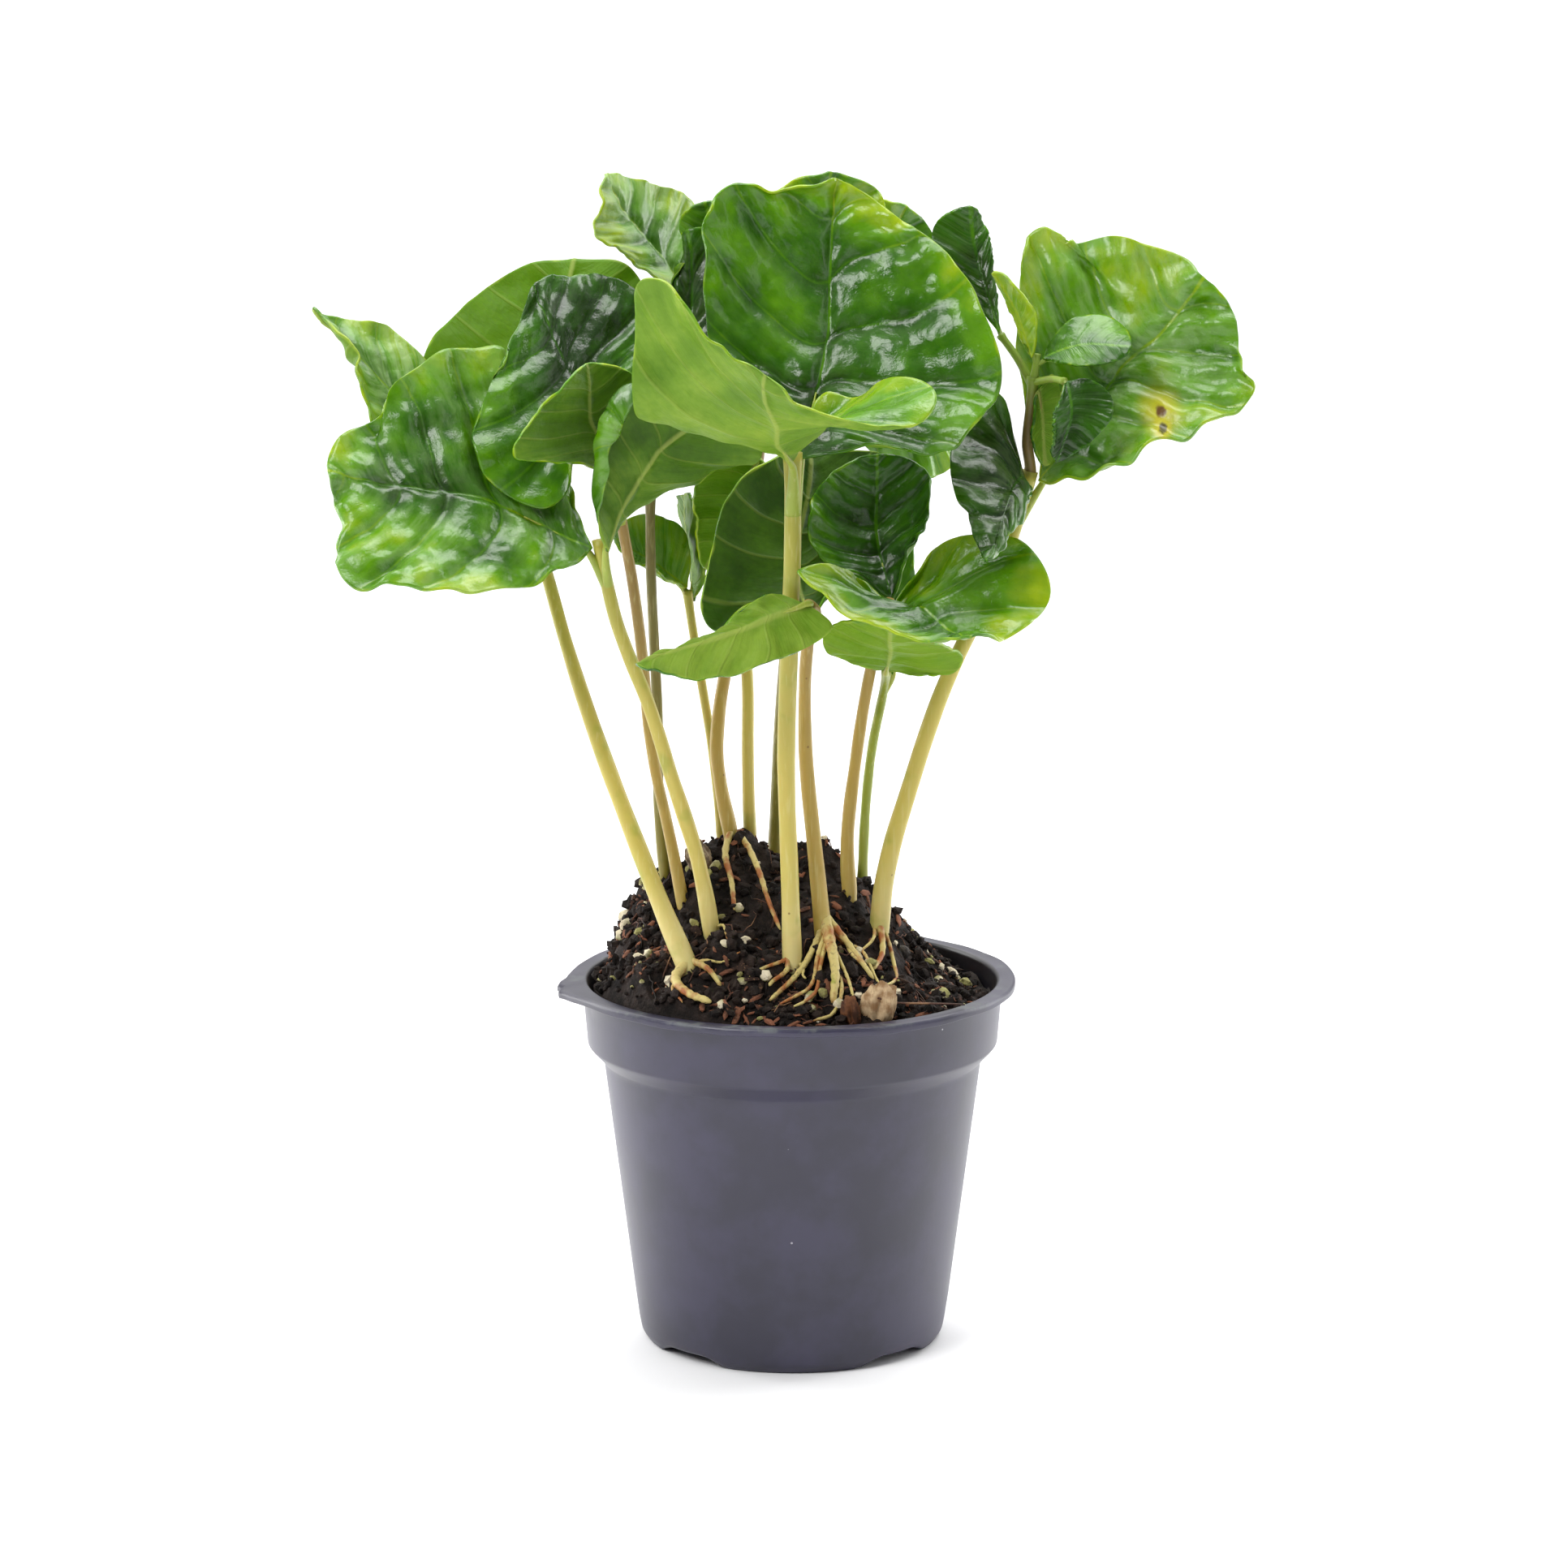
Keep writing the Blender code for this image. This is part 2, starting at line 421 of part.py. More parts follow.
def make_pot(collection, cutters):
    inside = [
        (0, FLOOR),
        (FOOT_RADIUS - 0.4, FLOOR),
        (HEEL_RADIUS - WALL, HEEL_HEIGHT + 0.9),
        (STEP_RADIUS - WALL, STEP_BOTTOM + 0.2),
        (BAND_RADIUS_LOW - WALL, BAND_BOTTOM + 0.2),
        (BAND_RADIUS_TOP - WALL, RIM_TOP - 0.4),
        (BAND_RADIUS_TOP - WALL + 0.4, RIM_TOP),
    ]
    outside = [
        (RIM_RADIUS - 0.4, RIM_TOP),
        (RIM_RADIUS, RIM_TOP - 0.4),
        (RIM_RADIUS, RIM_TOP - LIP_HEIGHT + 0.1),
        (RIM_RADIUS - 0.3, RIM_TOP - LIP_HEIGHT),
        (BAND_RADIUS_TOP, RIM_TOP - LIP_HEIGHT - 0.2),
        (BAND_RADIUS_LOW, BAND_BOTTOM),
        (BAND_RADIUS_LOW - 0.4, BAND_BOTTOM - 0.5),
        (STEP_RADIUS + 0.1, STEP_BOTTOM + 0.4),
        (STEP_RADIUS - 0.1, STEP_BOTTOM - 0.3),
        (HEEL_RADIUS, HEEL_HEIGHT),
        (HEEL_RADIUS - 0.4, 1.4),
        (FOOT_RADIUS + 0.4, 0.3),
        (FOOT_RADIUS, 0),
        (0, 0),
    ]
    pot = screw("pot", inside + outside, POT_SIDES, collection)
    for quarter in range(4):
        middle = math.radians(45 + 90 * quarter)
        notch = wedge("notch_%d" % quarter, middle, cutters)
        cut(pot, notch)
        drop(notch)
    for quarter in range(4):
        middle = math.radians(45 + 90 * quarter)
        drain = upright("drain_%d" % quarter, DRAIN_PLACE * math.cos(middle), DRAIN_PLACE * math.sin(middle),
                        0, FLOOR + 1.2, DRAIN_RADIUS, 10, cutters)
        cut(pot, drain)
        drop(drain)
    tear = math.radians(TEAR_ANGLE)
    for vertex in pot.data.vertices:
        radius = math.hypot(vertex.co.x, vertex.co.y)
        if radius < (BAND_RADIUS_TOP - 0.3) * MM or vertex.co.z < (RIM_TOP - LIP_HEIGHT - 0.3) * MM:
            continue
        away = math.atan2(vertex.co.y, vertex.co.x) - tear
        away = math.degrees((away + math.pi) % (2 * math.pi) - math.pi)
        pull = math.exp(-(away / TEAR_SPREAD) ** 2) * (radius - (BAND_RADIUS_TOP - 0.3) * MM)
        share = pull / ((RIM_RADIUS - BAND_RADIUS_TOP + 0.3) * MM)
        vertex.co.x *= 1 + share * TEAR_REACH * MM / radius
        vertex.co.y *= 1 + share * TEAR_REACH * MM / radius
        vertex.co.z -= share * TEAR_DROP * MM
    clean(pot.data)
    pot.data.materials.append(make_material("pot_look", 0x56525F, 0.38))
    smooth_shade(pot, 35)
    return pot


def upright(name, x, y, low, high, radius, sides, collection):
    """A plain upright cylinder between two heights, in mm."""
    mesh = bpy.data.meshes.new(name)
    work = bmesh.new()
    place = Matrix.Translation(Vector((x * MM, y * MM, (low + high) / 2 * MM)))
    bmesh.ops.create_cone(work, cap_ends=True, segments=sides, radius1=radius * MM, radius2=radius * MM,
                          depth=(high - low) * MM, matrix=place)
    work.to_mesh(mesh)
    work.free()
    thing = bpy.data.objects.new(name, mesh)
    collection.objects.link(thing)
    return thing


def wedge(name, middle, collection):
    """The block that cuts one of the four shallow arches between the pot's feet."""
    mesh = bpy.data.meshes.new(name)
    work = bmesh.new()
    width = 2 * FOOT_RADIUS * math.sin(math.radians(NOTCH_SPREAD / 2))
    reach = HEEL_RADIUS + 2 - NOTCH_INNER
    size = Matrix.Diagonal(Vector((reach * MM, width * MM, 2 * NOTCH_HEIGHT * MM, 1)))
    place = Matrix.Translation(Vector(((NOTCH_INNER + reach / 2) * MM, 0, 0)))
    bmesh.ops.create_cube(work, size=1, matrix=Matrix.Rotation(middle, 4, "Z") @ place @ size)
    top = [edge for edge in work.edges if all(v.co.z > 0 for v in edge.verts)]
    sides = [edge for edge in top if abs(edge.verts[0].co.xy.length - edge.verts[1].co.xy.length) > 0.002]
    bmesh.ops.bevel(work, geom=sides, offset=NOTCH_HEIGHT * 0.8 * MM, segments=2, affect="EDGES")
    work.to_mesh(mesh)
    work.free()
    thing = bpy.data.objects.new(name, mesh)
    collection.objects.link(thing)
    return thing


def make_soil(collection):
    top = [(0, SOIL_LEVEL)]
    for ring in range(1, SOIL_RINGS + 1):
        top.append((SOIL_EDGE * ring / SOIL_RINGS, SOIL_LEVEL))
    side = [
        (SOIL_EDGE - 0.1, SOIL_LEVEL - 1.5),
        (BAND_RADIUS_LOW - WALL - FIT - 0.1, BAND_BOTTOM + 0.2),
        (STEP_RADIUS - WALL - FIT - 0.1, STEP_BOTTOM),
        (HEEL_RADIUS - WALL - FIT - 0.1, HEEL_HEIGHT + 1.2),
        (FOOT_RADIUS - 1.0, FLOOR + FIT),
        (0, FLOOR + FIT),
    ]
    soil = screw("soil", top + side, SOIL_SIDES, collection)
    for vertex in soil.data.vertices:
        if vertex.co.z > (SOIL_LEVEL - 0.01) * MM:
            x, y = vertex.co.x / MM, vertex.co.y / MM
            edge = min(1.0, math.hypot(x, y) / SOIL_EDGE)
            height = float(soil_height(np.array(x), np.array(y)))
            vertex.co.z = min(height, SOIL_EDGE_TOP + (1 - edge) * SOIL_EDGE_RISE) * MM
    clean(soil.data)
    return soil


def stem_points(points):
    """The full path of a stem: straight down in its hole, then the smooth path."""
    foot = points[0]
    ground = float(soil_height(np.array(float(foot[0])), np.array(float(foot[1]))))
    start = min(ground, foot[2])
    path = [(foot[0], foot[1], start - STEM_DEPTH), (foot[0], foot[1], start - STEM_DEPTH / 2)]
    return path + [tuple(p) for p in stem_path([(foot[0], foot[1], start)] + list(points[1:]), STEM_RINGS)]


def make_stem(key, collection, cutters, soil):
    points, low, top = STEMS[key]
    path = stem_points(points)
    stem = tube("stem_" + key, path, low, top, STEM_SIDES, collection)
    near = [(path[0][0], path[0][1], path[0][2] - HOLE_FIT)] + path[1:6]
    share = 5 / (len(path) - 1)
    hole = tube("hole_" + key, near, low + HOLE_FIT, low + (top - low) * share + HOLE_FIT, STEM_SIDES, cutters)
    cut(soil, hole, solver="MANIFOLD")
    drop(hole)
    roots = [item for item in ROOTS if item[0] == key]
    for number, (owner, rise, places, radius) in enumerate(roots):
        foot = np.array(path[2])
        start = foot + np.array([0, 0, rise])
        way = [tuple(start)]
        for x, y in places:
            height = float(soil_height(np.array(float(x)), np.array(float(y))))
            way.append((x, y, height + radius + ROOT_LIFT))
        way = [tuple(p) for p in stem_path(way, 2 * len(way) + 1)]
        root = tube("root_%s_%d" % (key, number), way, radius, radius * 0.6, ROOT_SIDES, cutters)
        cut(stem, root, "UNION")
        drop(root)
    clean(stem.data)
    stem.data.materials.clear()
    stem.data.materials.append(make_material("stem_%s_look" % key, STEM_TONES[key], 0.5))
    smooth_shade(stem, 60)
    return stem


def seat(shape, path, low, top):
    """Move a leaf's base to a small gap from the side or the end of the bar that carries it."""
    rings = np.arange(len(path))
    finer = np.linspace(0, len(path) - 1, 12 * (len(path) - 1) + 1)
    path = np.array(path, float)
    path = np.stack([np.interp(finer, rings, path[:, axis]) for axis in range(3)], axis=1)
    radii = np.linspace(low, top, len(path))
    base = np.array(shape[0], float)
    normal = blade_normal(shape, np.array([-1.0]), np.array([0.0]))[0]
    tangent = unit(path[-1] - path[-3])
    away = base - path[-1]
    if away @ tangent > 0.8 * np.linalg.norm(away):
        gap = SEAT_GAP + LEAF_THICK / 2 * abs(normal @ tangent)
        return (path[-1] + tangent * gap,) + shape[1:]
    gaps = np.linalg.norm(path[1:-2] - base, axis=1)
    index = int(np.argmin(gaps)) + 1
    tangent = unit(path[index + 1] - path[index - 1])
    side = base - path[index]
    side = unit(side - tangent * (side @ tangent))
    gap = SEAT_GAP + LEAF_THICK / 2 * abs(normal @ side)
    return (path[index] + side * (radii[index] + gap),) + shape[1:]


def margin(base, tip, left, right):
    """Angle and place of each given point of the outline; the tip is at zero, the right below it."""
    base = np.array(base, float)
    tip = np.array(tip, float)
    lower = [base] + [np.array(p, float) for p in reversed(right)] + [tip]
    upper = [tip] + [np.array(p, float) for p in reversed(left)] + [base]

    def spread(points, start):
        steps = [0.0] + [np.linalg.norm(q - p) ** 0.8 for p, q in zip(points, points[1:])]
        reach = np.cumsum(steps)
        return start + math.pi * reach / reach[-1]

    knots = np.concatenate([spread(lower, -math.pi), spread(upper, 0)[1:]])
    return knots, np.array(lower + upper[1:])


def blade(base, tip, left, right, sag, a, b):
    """Smooth surface of a leaf at disc places a and b: two margins, and a midrib between them."""
    knots, points = margin(base, tip, left, right)
    base = np.array(base, float)
    tip = np.array(tip, float)
    angle = np.arccos(np.clip(a, -1, 1))
    left_edge = smooth_curve(knots, points, angle)
    right_edge = smooth_curve(knots, points, -angle)
    up = unit(np.cross(tip - base, np.mean(left, axis=0) - np.mean(right, axis=0)))
    share = ((a + 1) / 2)[..., None]
    straight = base + (tip - base) * share
    ends = (np.clip(1 - np.abs(a), 0, 1) ** 0.5)[..., None]
    middle = straight + MIDRIB_BOW * ends * ((left_edge + right_edge) / 2 - straight)
    middle = middle - up * sag * 4 * share * (1 - share)
    half = np.sqrt(np.clip(1 - a * a, 1e-9, 1))
    x = np.clip(b / half, -1, 1)[..., None]
    bow = (1 - FOLD_SHARE) * x * x + FOLD_SHARE * np.abs(x)
    return middle + (left_edge - right_edge) / 2 * x + ((left_edge + right_edge) / 2 - middle) * bow


def blade_normal(shape, a, b):
    """Top-side normal of the smooth surface, taken a little inside the margin."""
    a, b = a * 0.97, b * 0.97
    step = 0.01
    along = blade(*shape, a + step, b) - blade(*shape, a - step, b)
    across = blade(*shape, a, b + step) - blade(*shape, a, b - step)
    normal = np.cross(along, across)
    return normal / (np.linalg.norm(normal, axis=-1, keepdims=True) + 1e-12)


def leaf_surface(shape, roll, a, b):
    """The blade with its waved margin and, where it has one, its rolled margin."""
    place = blade(*shape, a, b)
    normal = blade_normal(shape, a, b)
    radius = np.clip(np.hypot(a, b), 0, 1)
    angle = np.arctan2(b, a)
    quiet = np.clip((math.pi - np.abs(angle)) / 0.5, 0, 1)
    phase = math.radians(WAVE_PHASE)
    wave = np.sin(WAVE_COUNT * angle + phase) + 0.5 * np.sin((2 * WAVE_COUNT - 1) * angle + 2.3 * phase)
    place = place + normal * (WAVE_HEIGHT * quiet * radius ** 3 * wave)[..., None]
    if roll:
        bend, centre, spread, start = roll
        fold_a, fold_b = start * np.cos(angle), start * np.sin(angle)
        fold_place = blade(*shape, fold_a, fold_b)
        fold_normal = blade_normal(shape, fold_a, fold_b) * math.copysign(1, bend)
        off = np.abs((-np.degrees(angle) - centre + 180) % 360 - 180)
        weight = np.clip(1.3 - off / spread, 0, 1)
        reach = np.linalg.norm(place - fold_place, axis=-1)
        outward = (place - fold_place) / (reach[..., None] + 1e-9)
        turn = np.clip(weight * reach / abs(bend), 1e-6, 4.2)
        bend = abs(bend) / np.maximum(weight, 0.02)
        rolled = (fold_place + (bend * np.sin(turn))[..., None] * outward
                  + (bend * (1 - np.cos(turn)))[..., None] * fold_normal)
        place = np.where(((radius > start) & (weight > 0.02))[..., None], rolled, place)
    return place


def make_leaf(name, shape, roll, cells, tone, collection):
    along, across = cells
    mesh = bpy.data.meshes.new(name)
    work = bmesh.new()
    bmesh.ops.create_grid(work, x_segments=along, y_segments=across, size=1)
    flat = np.array([vertex.co[:] for vertex in work.verts])
    a = flat[:, 0] * np.sqrt(1 - flat[:, 1] ** 2 / 2)
    b = flat[:, 1] * np.sqrt(1 - flat[:, 0] ** 2 / 2)
    places = leaf_surface(shape, roll, a, b) * MM
    for vertex, place in zip(work.verts, places):
        vertex.co = place
    bmesh.ops.triangulate(work, faces=work.faces)
    work.to_mesh(mesh)
    work.free()
    code, roughness = TONES[tone]
    leaf = add_object(name, mesh, collection, code, roughness)
    modifier = leaf.modifiers.new("thickness", "SOLIDIFY")
    modifier.thickness = LEAF_THICK * MM
    modifier.offset = 0
    apply_modifiers(leaf)
    clean(mesh)
    smooth_shade(leaf, 50)
    return leaf


def make_husk(name, collection, cutters, soil):
    centre, half, turn, code, roughness = HUSKS[name]
    place = Matrix.Translation(Vector(centre) * MM) @ Matrix.Rotation(math.radians(turn), 4, "Y")
    things = []
    for label, swell, home in ((name, 0.0, collection), (name + "_dent", FIT, cutters)):
        mesh = bpy.data.meshes.new(label)
        work = bmesh.new()
        size = Matrix.Diagonal(Vector([(part + swell) * MM for part in half] + [1]))
        bmesh.ops.create_uvsphere(work, u_segments=12, v_segments=8, radius=1, matrix=place @ size)
        work.to_mesh(mesh)
        work.free()
        things.append(add_object(label, mesh, home))
    cut(soil, things[1], solver="MANIFOLD")
    drop(things[1])
    husk = things[0]
    clean(husk.data)
    husk.data.materials.append(make_material(name + "_look", code, roughness))
    smooth_shade(husk, 60)
    return husk


def make_shoot(collection, cutters):
    path, low, top = SHOOT_BARS["axis"]
    shoot = tube("shoot", stem_path(path, SHOOT_RINGS), low, top, STEM_SIDES, collection)
    for name in ("bud", "stalk_rear", "stalk_front"):
        path, low, top = SHOOT_BARS[name]
        twig = tube(name, stem_path(path, SHOOT_RINGS), low, top, STEM_SIDES, cutters)
        cut(shoot, twig, "UNION")
        drop(twig)
    clean(shoot.data)
    shoot.data.materials.append(make_material("shoot_look", 0x5A4A38, 0.5))
    smooth_shade(shoot, 60)
    return shoot


def main():
    for thing in list(bpy.data.objects):
        bpy.data.objects.remove(thing)
    body = bpy.data.collections.new("coffee_seedlings")
    cutters = bpy.data.collections.new("cutters")
    bpy.context.scene.collection.children.link(body)
    bpy.context.scene.collection.children.link(cutters)

    make_pot(body, cutters)
    soil = make_soil(body)
    for key in STEMS:
        make_stem(key, body, cutters, soil)
    for name in HUSKS:
        make_husk(name, body, cutters, soil)
    clean(soil.data)
    soil.data.materials.append(make_material("soil_look", 0x2A201A, 0.95))
    smooth_shade(soil, 50)
    for key, (stem, base, tip, left, right, sag, cells, tone, roll) in LEAVES.items():
        points, low, top = STEMS[stem]
        shape = seat((base, tip, left, right, sag), stem_points(points), low, top)
        make_leaf("leaf_" + key, shape, roll, cells, tone, body)
    make_shoot(body, cutters)
    for key, (bar, base, tip, left, right, sag, cells, tone) in TRUE_LEAVES.items():
        points, low, top = SHOOT_BARS[bar]
        shape = seat((base, tip, left, right, sag), stem_path(points, SHOOT_RINGS), low, top)
        make_leaf("true_leaf_" + key[1:], shape, None, cells, tone, body)
    bpy.data.collections.remove(cutters)


main()
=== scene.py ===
import json
import math
import random

import bpy
import numpy as np
from mathutils import Matrix, Vector, noise

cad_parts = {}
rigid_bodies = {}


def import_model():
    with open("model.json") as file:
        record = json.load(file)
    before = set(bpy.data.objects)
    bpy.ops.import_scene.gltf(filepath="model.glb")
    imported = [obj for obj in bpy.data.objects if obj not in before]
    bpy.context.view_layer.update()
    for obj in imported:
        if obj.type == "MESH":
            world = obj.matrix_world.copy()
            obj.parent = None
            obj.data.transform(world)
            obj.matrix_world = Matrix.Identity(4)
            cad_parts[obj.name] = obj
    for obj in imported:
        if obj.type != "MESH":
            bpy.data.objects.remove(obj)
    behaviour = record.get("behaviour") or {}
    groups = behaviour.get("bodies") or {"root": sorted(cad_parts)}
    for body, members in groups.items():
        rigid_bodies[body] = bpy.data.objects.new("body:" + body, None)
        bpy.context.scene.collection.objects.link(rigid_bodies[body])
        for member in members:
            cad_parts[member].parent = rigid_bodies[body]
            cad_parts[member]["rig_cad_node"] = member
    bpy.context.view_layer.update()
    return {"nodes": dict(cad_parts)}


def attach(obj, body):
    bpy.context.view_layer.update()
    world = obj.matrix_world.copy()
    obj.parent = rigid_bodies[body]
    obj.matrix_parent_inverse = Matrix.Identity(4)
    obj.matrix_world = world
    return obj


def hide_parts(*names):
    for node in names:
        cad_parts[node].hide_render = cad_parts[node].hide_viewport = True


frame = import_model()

# Coffee seedlings in a nursery pot. Lengths below are in millimetres unless a line says otherwise.
mm = 0.001
print("frame loaded:", len(frame["nodes"]), "solids")


# Small helpers

def linearColour(code):
    # sRGB hex value to the linear colour that a socket wants
    parts = [((code >> shift) & 255) / 255 for shift in (16, 8, 0)]
    return [c / 12.92 if c <= 0.04045 else ((c + 0.055) / 1.055) ** 2.4 for c in parts] + [1.0]


def addNode(tree, kind, inputs=None, output=0, **options):
    # inputs go by name or number: another node's output is linked, a whole number over 255 is an sRGB colour
    # and any other value is written in; options are the node's own
    node = tree.nodes.new("ShaderNode" + kind)
    for name, value in options.items():
        setattr(node, name, value)
    for key, value in (inputs or {}).items():
        if isinstance(value, bpy.types.NodeSocket):
            tree.links.new(value, node.inputs[key])
        elif isinstance(value, int) and value > 255:
            node.inputs[key].default_value = linearColour(value)
        else:
            node.inputs[key].default_value = value
    return node.outputs[output]


# options that many nodes share
smooth = {"interpolation_type": "SMOOTHSTEP"}
colours = {"data_type": "RGBA"}
times = {"operation": "MULTIPLY"}
timesPlus = {"operation": "MULTIPLY_ADD"}  # first times second, plus third


class Look:
    # a material with its shader's constant values; place is where a point lies on the object
    def __init__(self, name, roughness, **sockets):
        self.material = bpy.data.materials.new(name)
        self.material.use_nodes = True
        self.tree = self.material.node_tree
        self.shader = self.tree.nodes["Principled BSDF"].inputs
        self.shader["Roughness"].default_value = roughness
        for key, value in sockets.items():
            self.shader[key.replace("_", " ")].default_value = value
        self.place = self.add("TexCoord", output="Object")

    def add(self, kind, inputs=None, output=0, **options):
        return addNode(self.tree, kind, inputs, output, **options)

    def join(self, name, socket):
        self.tree.links.new(socket, self.shader[name])

    def specks(self, cell, near, far, rare, common, strength=1.0):
        # round specks, in some cells only
        gap = self.add("TexVoronoi", {"Vector": self.place, "Scale": 1 / cell}, "Distance")
        pick = self.add("SeparateColor", {0: gap.node.outputs["Color"]})
        pick = self.add("MapRange", {0: pick, 1: rare, 2: common, 4: strength}, **smooth)
        dot = self.add("MapRange", {0: gap, 1: near, 2: far}, **smooth)
        return self.add("Math", {0: dot, 1: pick}, **times)


def clearSelection():
    if bpy.context.object and bpy.context.object.mode != "OBJECT":
        bpy.ops.object.mode_set(mode="OBJECT")
    bpy.ops.object.select_all(action="DESELECT")


def takeUp(thing):
    clearSelection()
    bpy.context.view_layer.objects.active = thing
    thing.select_set(True)


def applyAll(thing):
    takeUp(thing)
    for modifier in list(thing.modifiers):
        bpy.ops.object.modifier_apply(modifier=modifier.name)


def settle(thing):
    # puts the object's place into its mesh
    takeUp(thing)
    bpy.ops.object.transform_apply(location=True, rotation=True, scale=True)


def coat(thing, *looks):
    thing.data.materials.clear()
    for look in looks:
        thing.data.materials.append(look.material)


def finishPiece(thing, slot, *nodes):
    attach(thing, "root")
    if nodes:
        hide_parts(*nodes)


def joinThings(name, things):
    takeUp(things[0])
    for thing in things[1:]:
        thing.select_set(True)
    bpy.ops.object.join()
    joined = bpy.context.object
    joined.name = name
    joined.data.name = name
    return joined


def unit(vector):
    return vector / np.linalg.norm(vector)


def smoothCurve(knots, values, places):
    # cubic through the values at rising knots, with centred slopes
    knots = np.asarray(knots, float)
    values = np.asarray(values, float)
    slopes = np.zeros_like(values)
    slopes[1:-1] = (values[2:] - values[:-2]) / (knots[2:] - knots[:-2])[:, None]
    slopes[0] = (values[1] - values[0]) / (knots[1] - knots[0])
    slopes[-1] = (values[-1] - values[-2]) / (knots[-1] - knots[-2])
    index = np.clip(np.searchsorted(knots, places, side="right") - 1, 0, len(knots) - 2)
    span = knots[index + 1] - knots[index]
    share = ((places - knots[index]) / span)[..., None]
    span = span[..., None]
    return ((1 + 2 * share) * (1 - share) ** 2 * values[index]
            + share * (1 - share) ** 2 * span * slopes[index]
            + share * share * (3 - 2 * share) * values[index + 1]
            + share * share * (share - 1) * span * slopes[index + 1])


def pathThrough(points, count):
    points = np.array(points, float)
    steps = np.linalg.norm(np.diff(points, axis=0), axis=1)
    knots = np.concatenate([[0.0], np.cumsum(steps)])
    return smoothCurve(knots, points, np.linspace(0, knots[-1], count))


def growBar(name, places, radii, sides):
    # a round bar along the places, closed at both ends, made from a bevelled curve
    clearSelection()
    bpy.ops.curve.primitive_bezier_curve_add()
    curve = bpy.context.object
    data = curve.data
    data.splines.clear()
    data.dimensions = "3D"
    data.bevel_depth = mm
    data.bevel_resolution = (sides - 4) // 2
    data.use_fill_caps = True
    spline = data.splines.new("POLY")
    spline.points.add(len(places) - 1)
    for index, place in enumerate(places):
        spline.points[index].co = (place[0] * mm, place[1] * mm, place[2] * mm, 1)
        spline.points[index].radius = radii[index]
    takeUp(curve)
    bpy.ops.object.convert(target="MESH")
    bar = bpy.context.object
    bar.name = name
    bar.data.name = name
    bpy.ops.object.mode_set(mode="EDIT")
    bpy.ops.mesh.select_all(action="SELECT")
    bpy.ops.mesh.remove_doubles(threshold=0.000002)
    bpy.ops.mesh.normals_make_consistent(inside=False)
    bpy.ops.object.mode_set(mode="OBJECT")
    bpy.ops.object.shade_smooth()
    return bar


def meshPoints(thing):
    flat = np.empty(len(thing.data.vertices) * 3)
    thing.data.vertices.foreach_get("co", flat)
    return flat.reshape(-1, 3)


def meshNormals(thing):
    flat = np.empty(len(thing.data.vertices) * 3)
    thing.data.vertices.foreach_get("normal", flat)
    return flat.reshape(-1, 3)


def movePoints(thing, places):
    thing.data.vertices.foreach_set("co", np.asarray(places, float).ravel())
    thing.data.update()


# Camera, lights and floor

view = {"target": (-1.3, 0.0, 89.0), "distance": 993.0, "elevation": 11.85, "lens": 145.9, "sensor": 36.0}
tilt = math.radians(view["elevation"])
cameraData = bpy.data.cameras.new("photoCamera")
cameraData.lens = view["lens"]
cameraData.sensor_width = view["sensor"]
cameraData.clip_start = 0.01
camera = bpy.data.objects.new("photoCamera", cameraData)
towards = Vector((0, -math.cos(tilt), math.sin(tilt)))
camera.location = (Vector(view["target"]) + view["distance"] * towards) * mm
camera.rotation_euler = (math.pi / 2 - tilt, 0, 0)
bpy.context.scene.collection.objects.link(camera)
bpy.context.scene.camera = camera

# a light tent that is open at the camera's side: a large soft key from the upper left, a top panel and two
# strips that edge the pot; places and sizes are in metres here
lamps = {
    "keyPanel": {"place": (-0.6, -0.6, 0.8), "aim": (0, 0, 0.12), "size": (0.5, 0.5), "power": 8.6},
    "fillPanel": {"place": (0.75, -0.5, 0.4), "aim": (0, 0, 0.1), "size": (0.4, 0.7), "power": 1.2},
    "topPanel": {"place": (0.1, 0.15, 0.95), "aim": (0, 0, 0.1), "size": (0.7, 0.5), "power": 7.0},
    "leftStrip": {"place": (-0.6, 0.3, 0.2), "aim": (0, 0, 0.06), "size": (0.25, 0.6), "power": 3.0},
    "rightStrip": {"place": (0.6, 0.3, 0.2), "aim": (0, 0, 0.06), "size": (0.25, 0.6), "power": 3.0},
    "floorPanel": {"place": (0, 2.4, 1.7), "aim": (0, 2.3, 0), "size": (5.0, 2.4), "power": 75.0},
}
for name, lamp in lamps.items():
    data = bpy.data.lights.new(name, "AREA")
    data.shape = "RECTANGLE"
    data.size, data.size_y = lamp["size"]
    data.energy = lamp["power"]
    light = bpy.data.objects.new(name, data)
    light.location = lamp["place"]
    light.rotation_euler = (Vector(lamp["aim"]) - Vector(lamp["place"])).to_track_quat("-Z", "Y").to_euler()
    bpy.context.scene.collection.objects.link(light)

# the tent's walls are bright behind the plant and overhead and dim in front of it
tent = bpy.data.worlds.new("lightTent")
tent.use_nodes = True
tree = tent.node_tree
heading = addNode(tree, "TexCoord", output="Generated")
behind = addNode(tree, "SeparateXYZ", {0: heading}, "Y")
behind = addNode(tree, "MapRange", {0: behind, 1: -0.6, 2: 0.5, 3: 0.07, 4: 0.55}, **smooth)
overhead = addNode(tree, "SeparateXYZ", {0: heading}, "Z")
overhead = addNode(tree, "MapRange", {0: overhead, 1: 0.1, 2: 0.9, 4: 0.25}, **smooth)
wallShare = addNode(tree, "Math", {0: behind, 1: overhead}, operation="ADD")
tree.links.new(wallShare, tree.nodes["Background"].inputs["Strength"])
tree.nodes["Background"].inputs["Color"].default_value = (1, 1, 1, 1)
bpy.context.scene.world = tent
bpy.context.scene.view_settings.view_transform = "Standard"

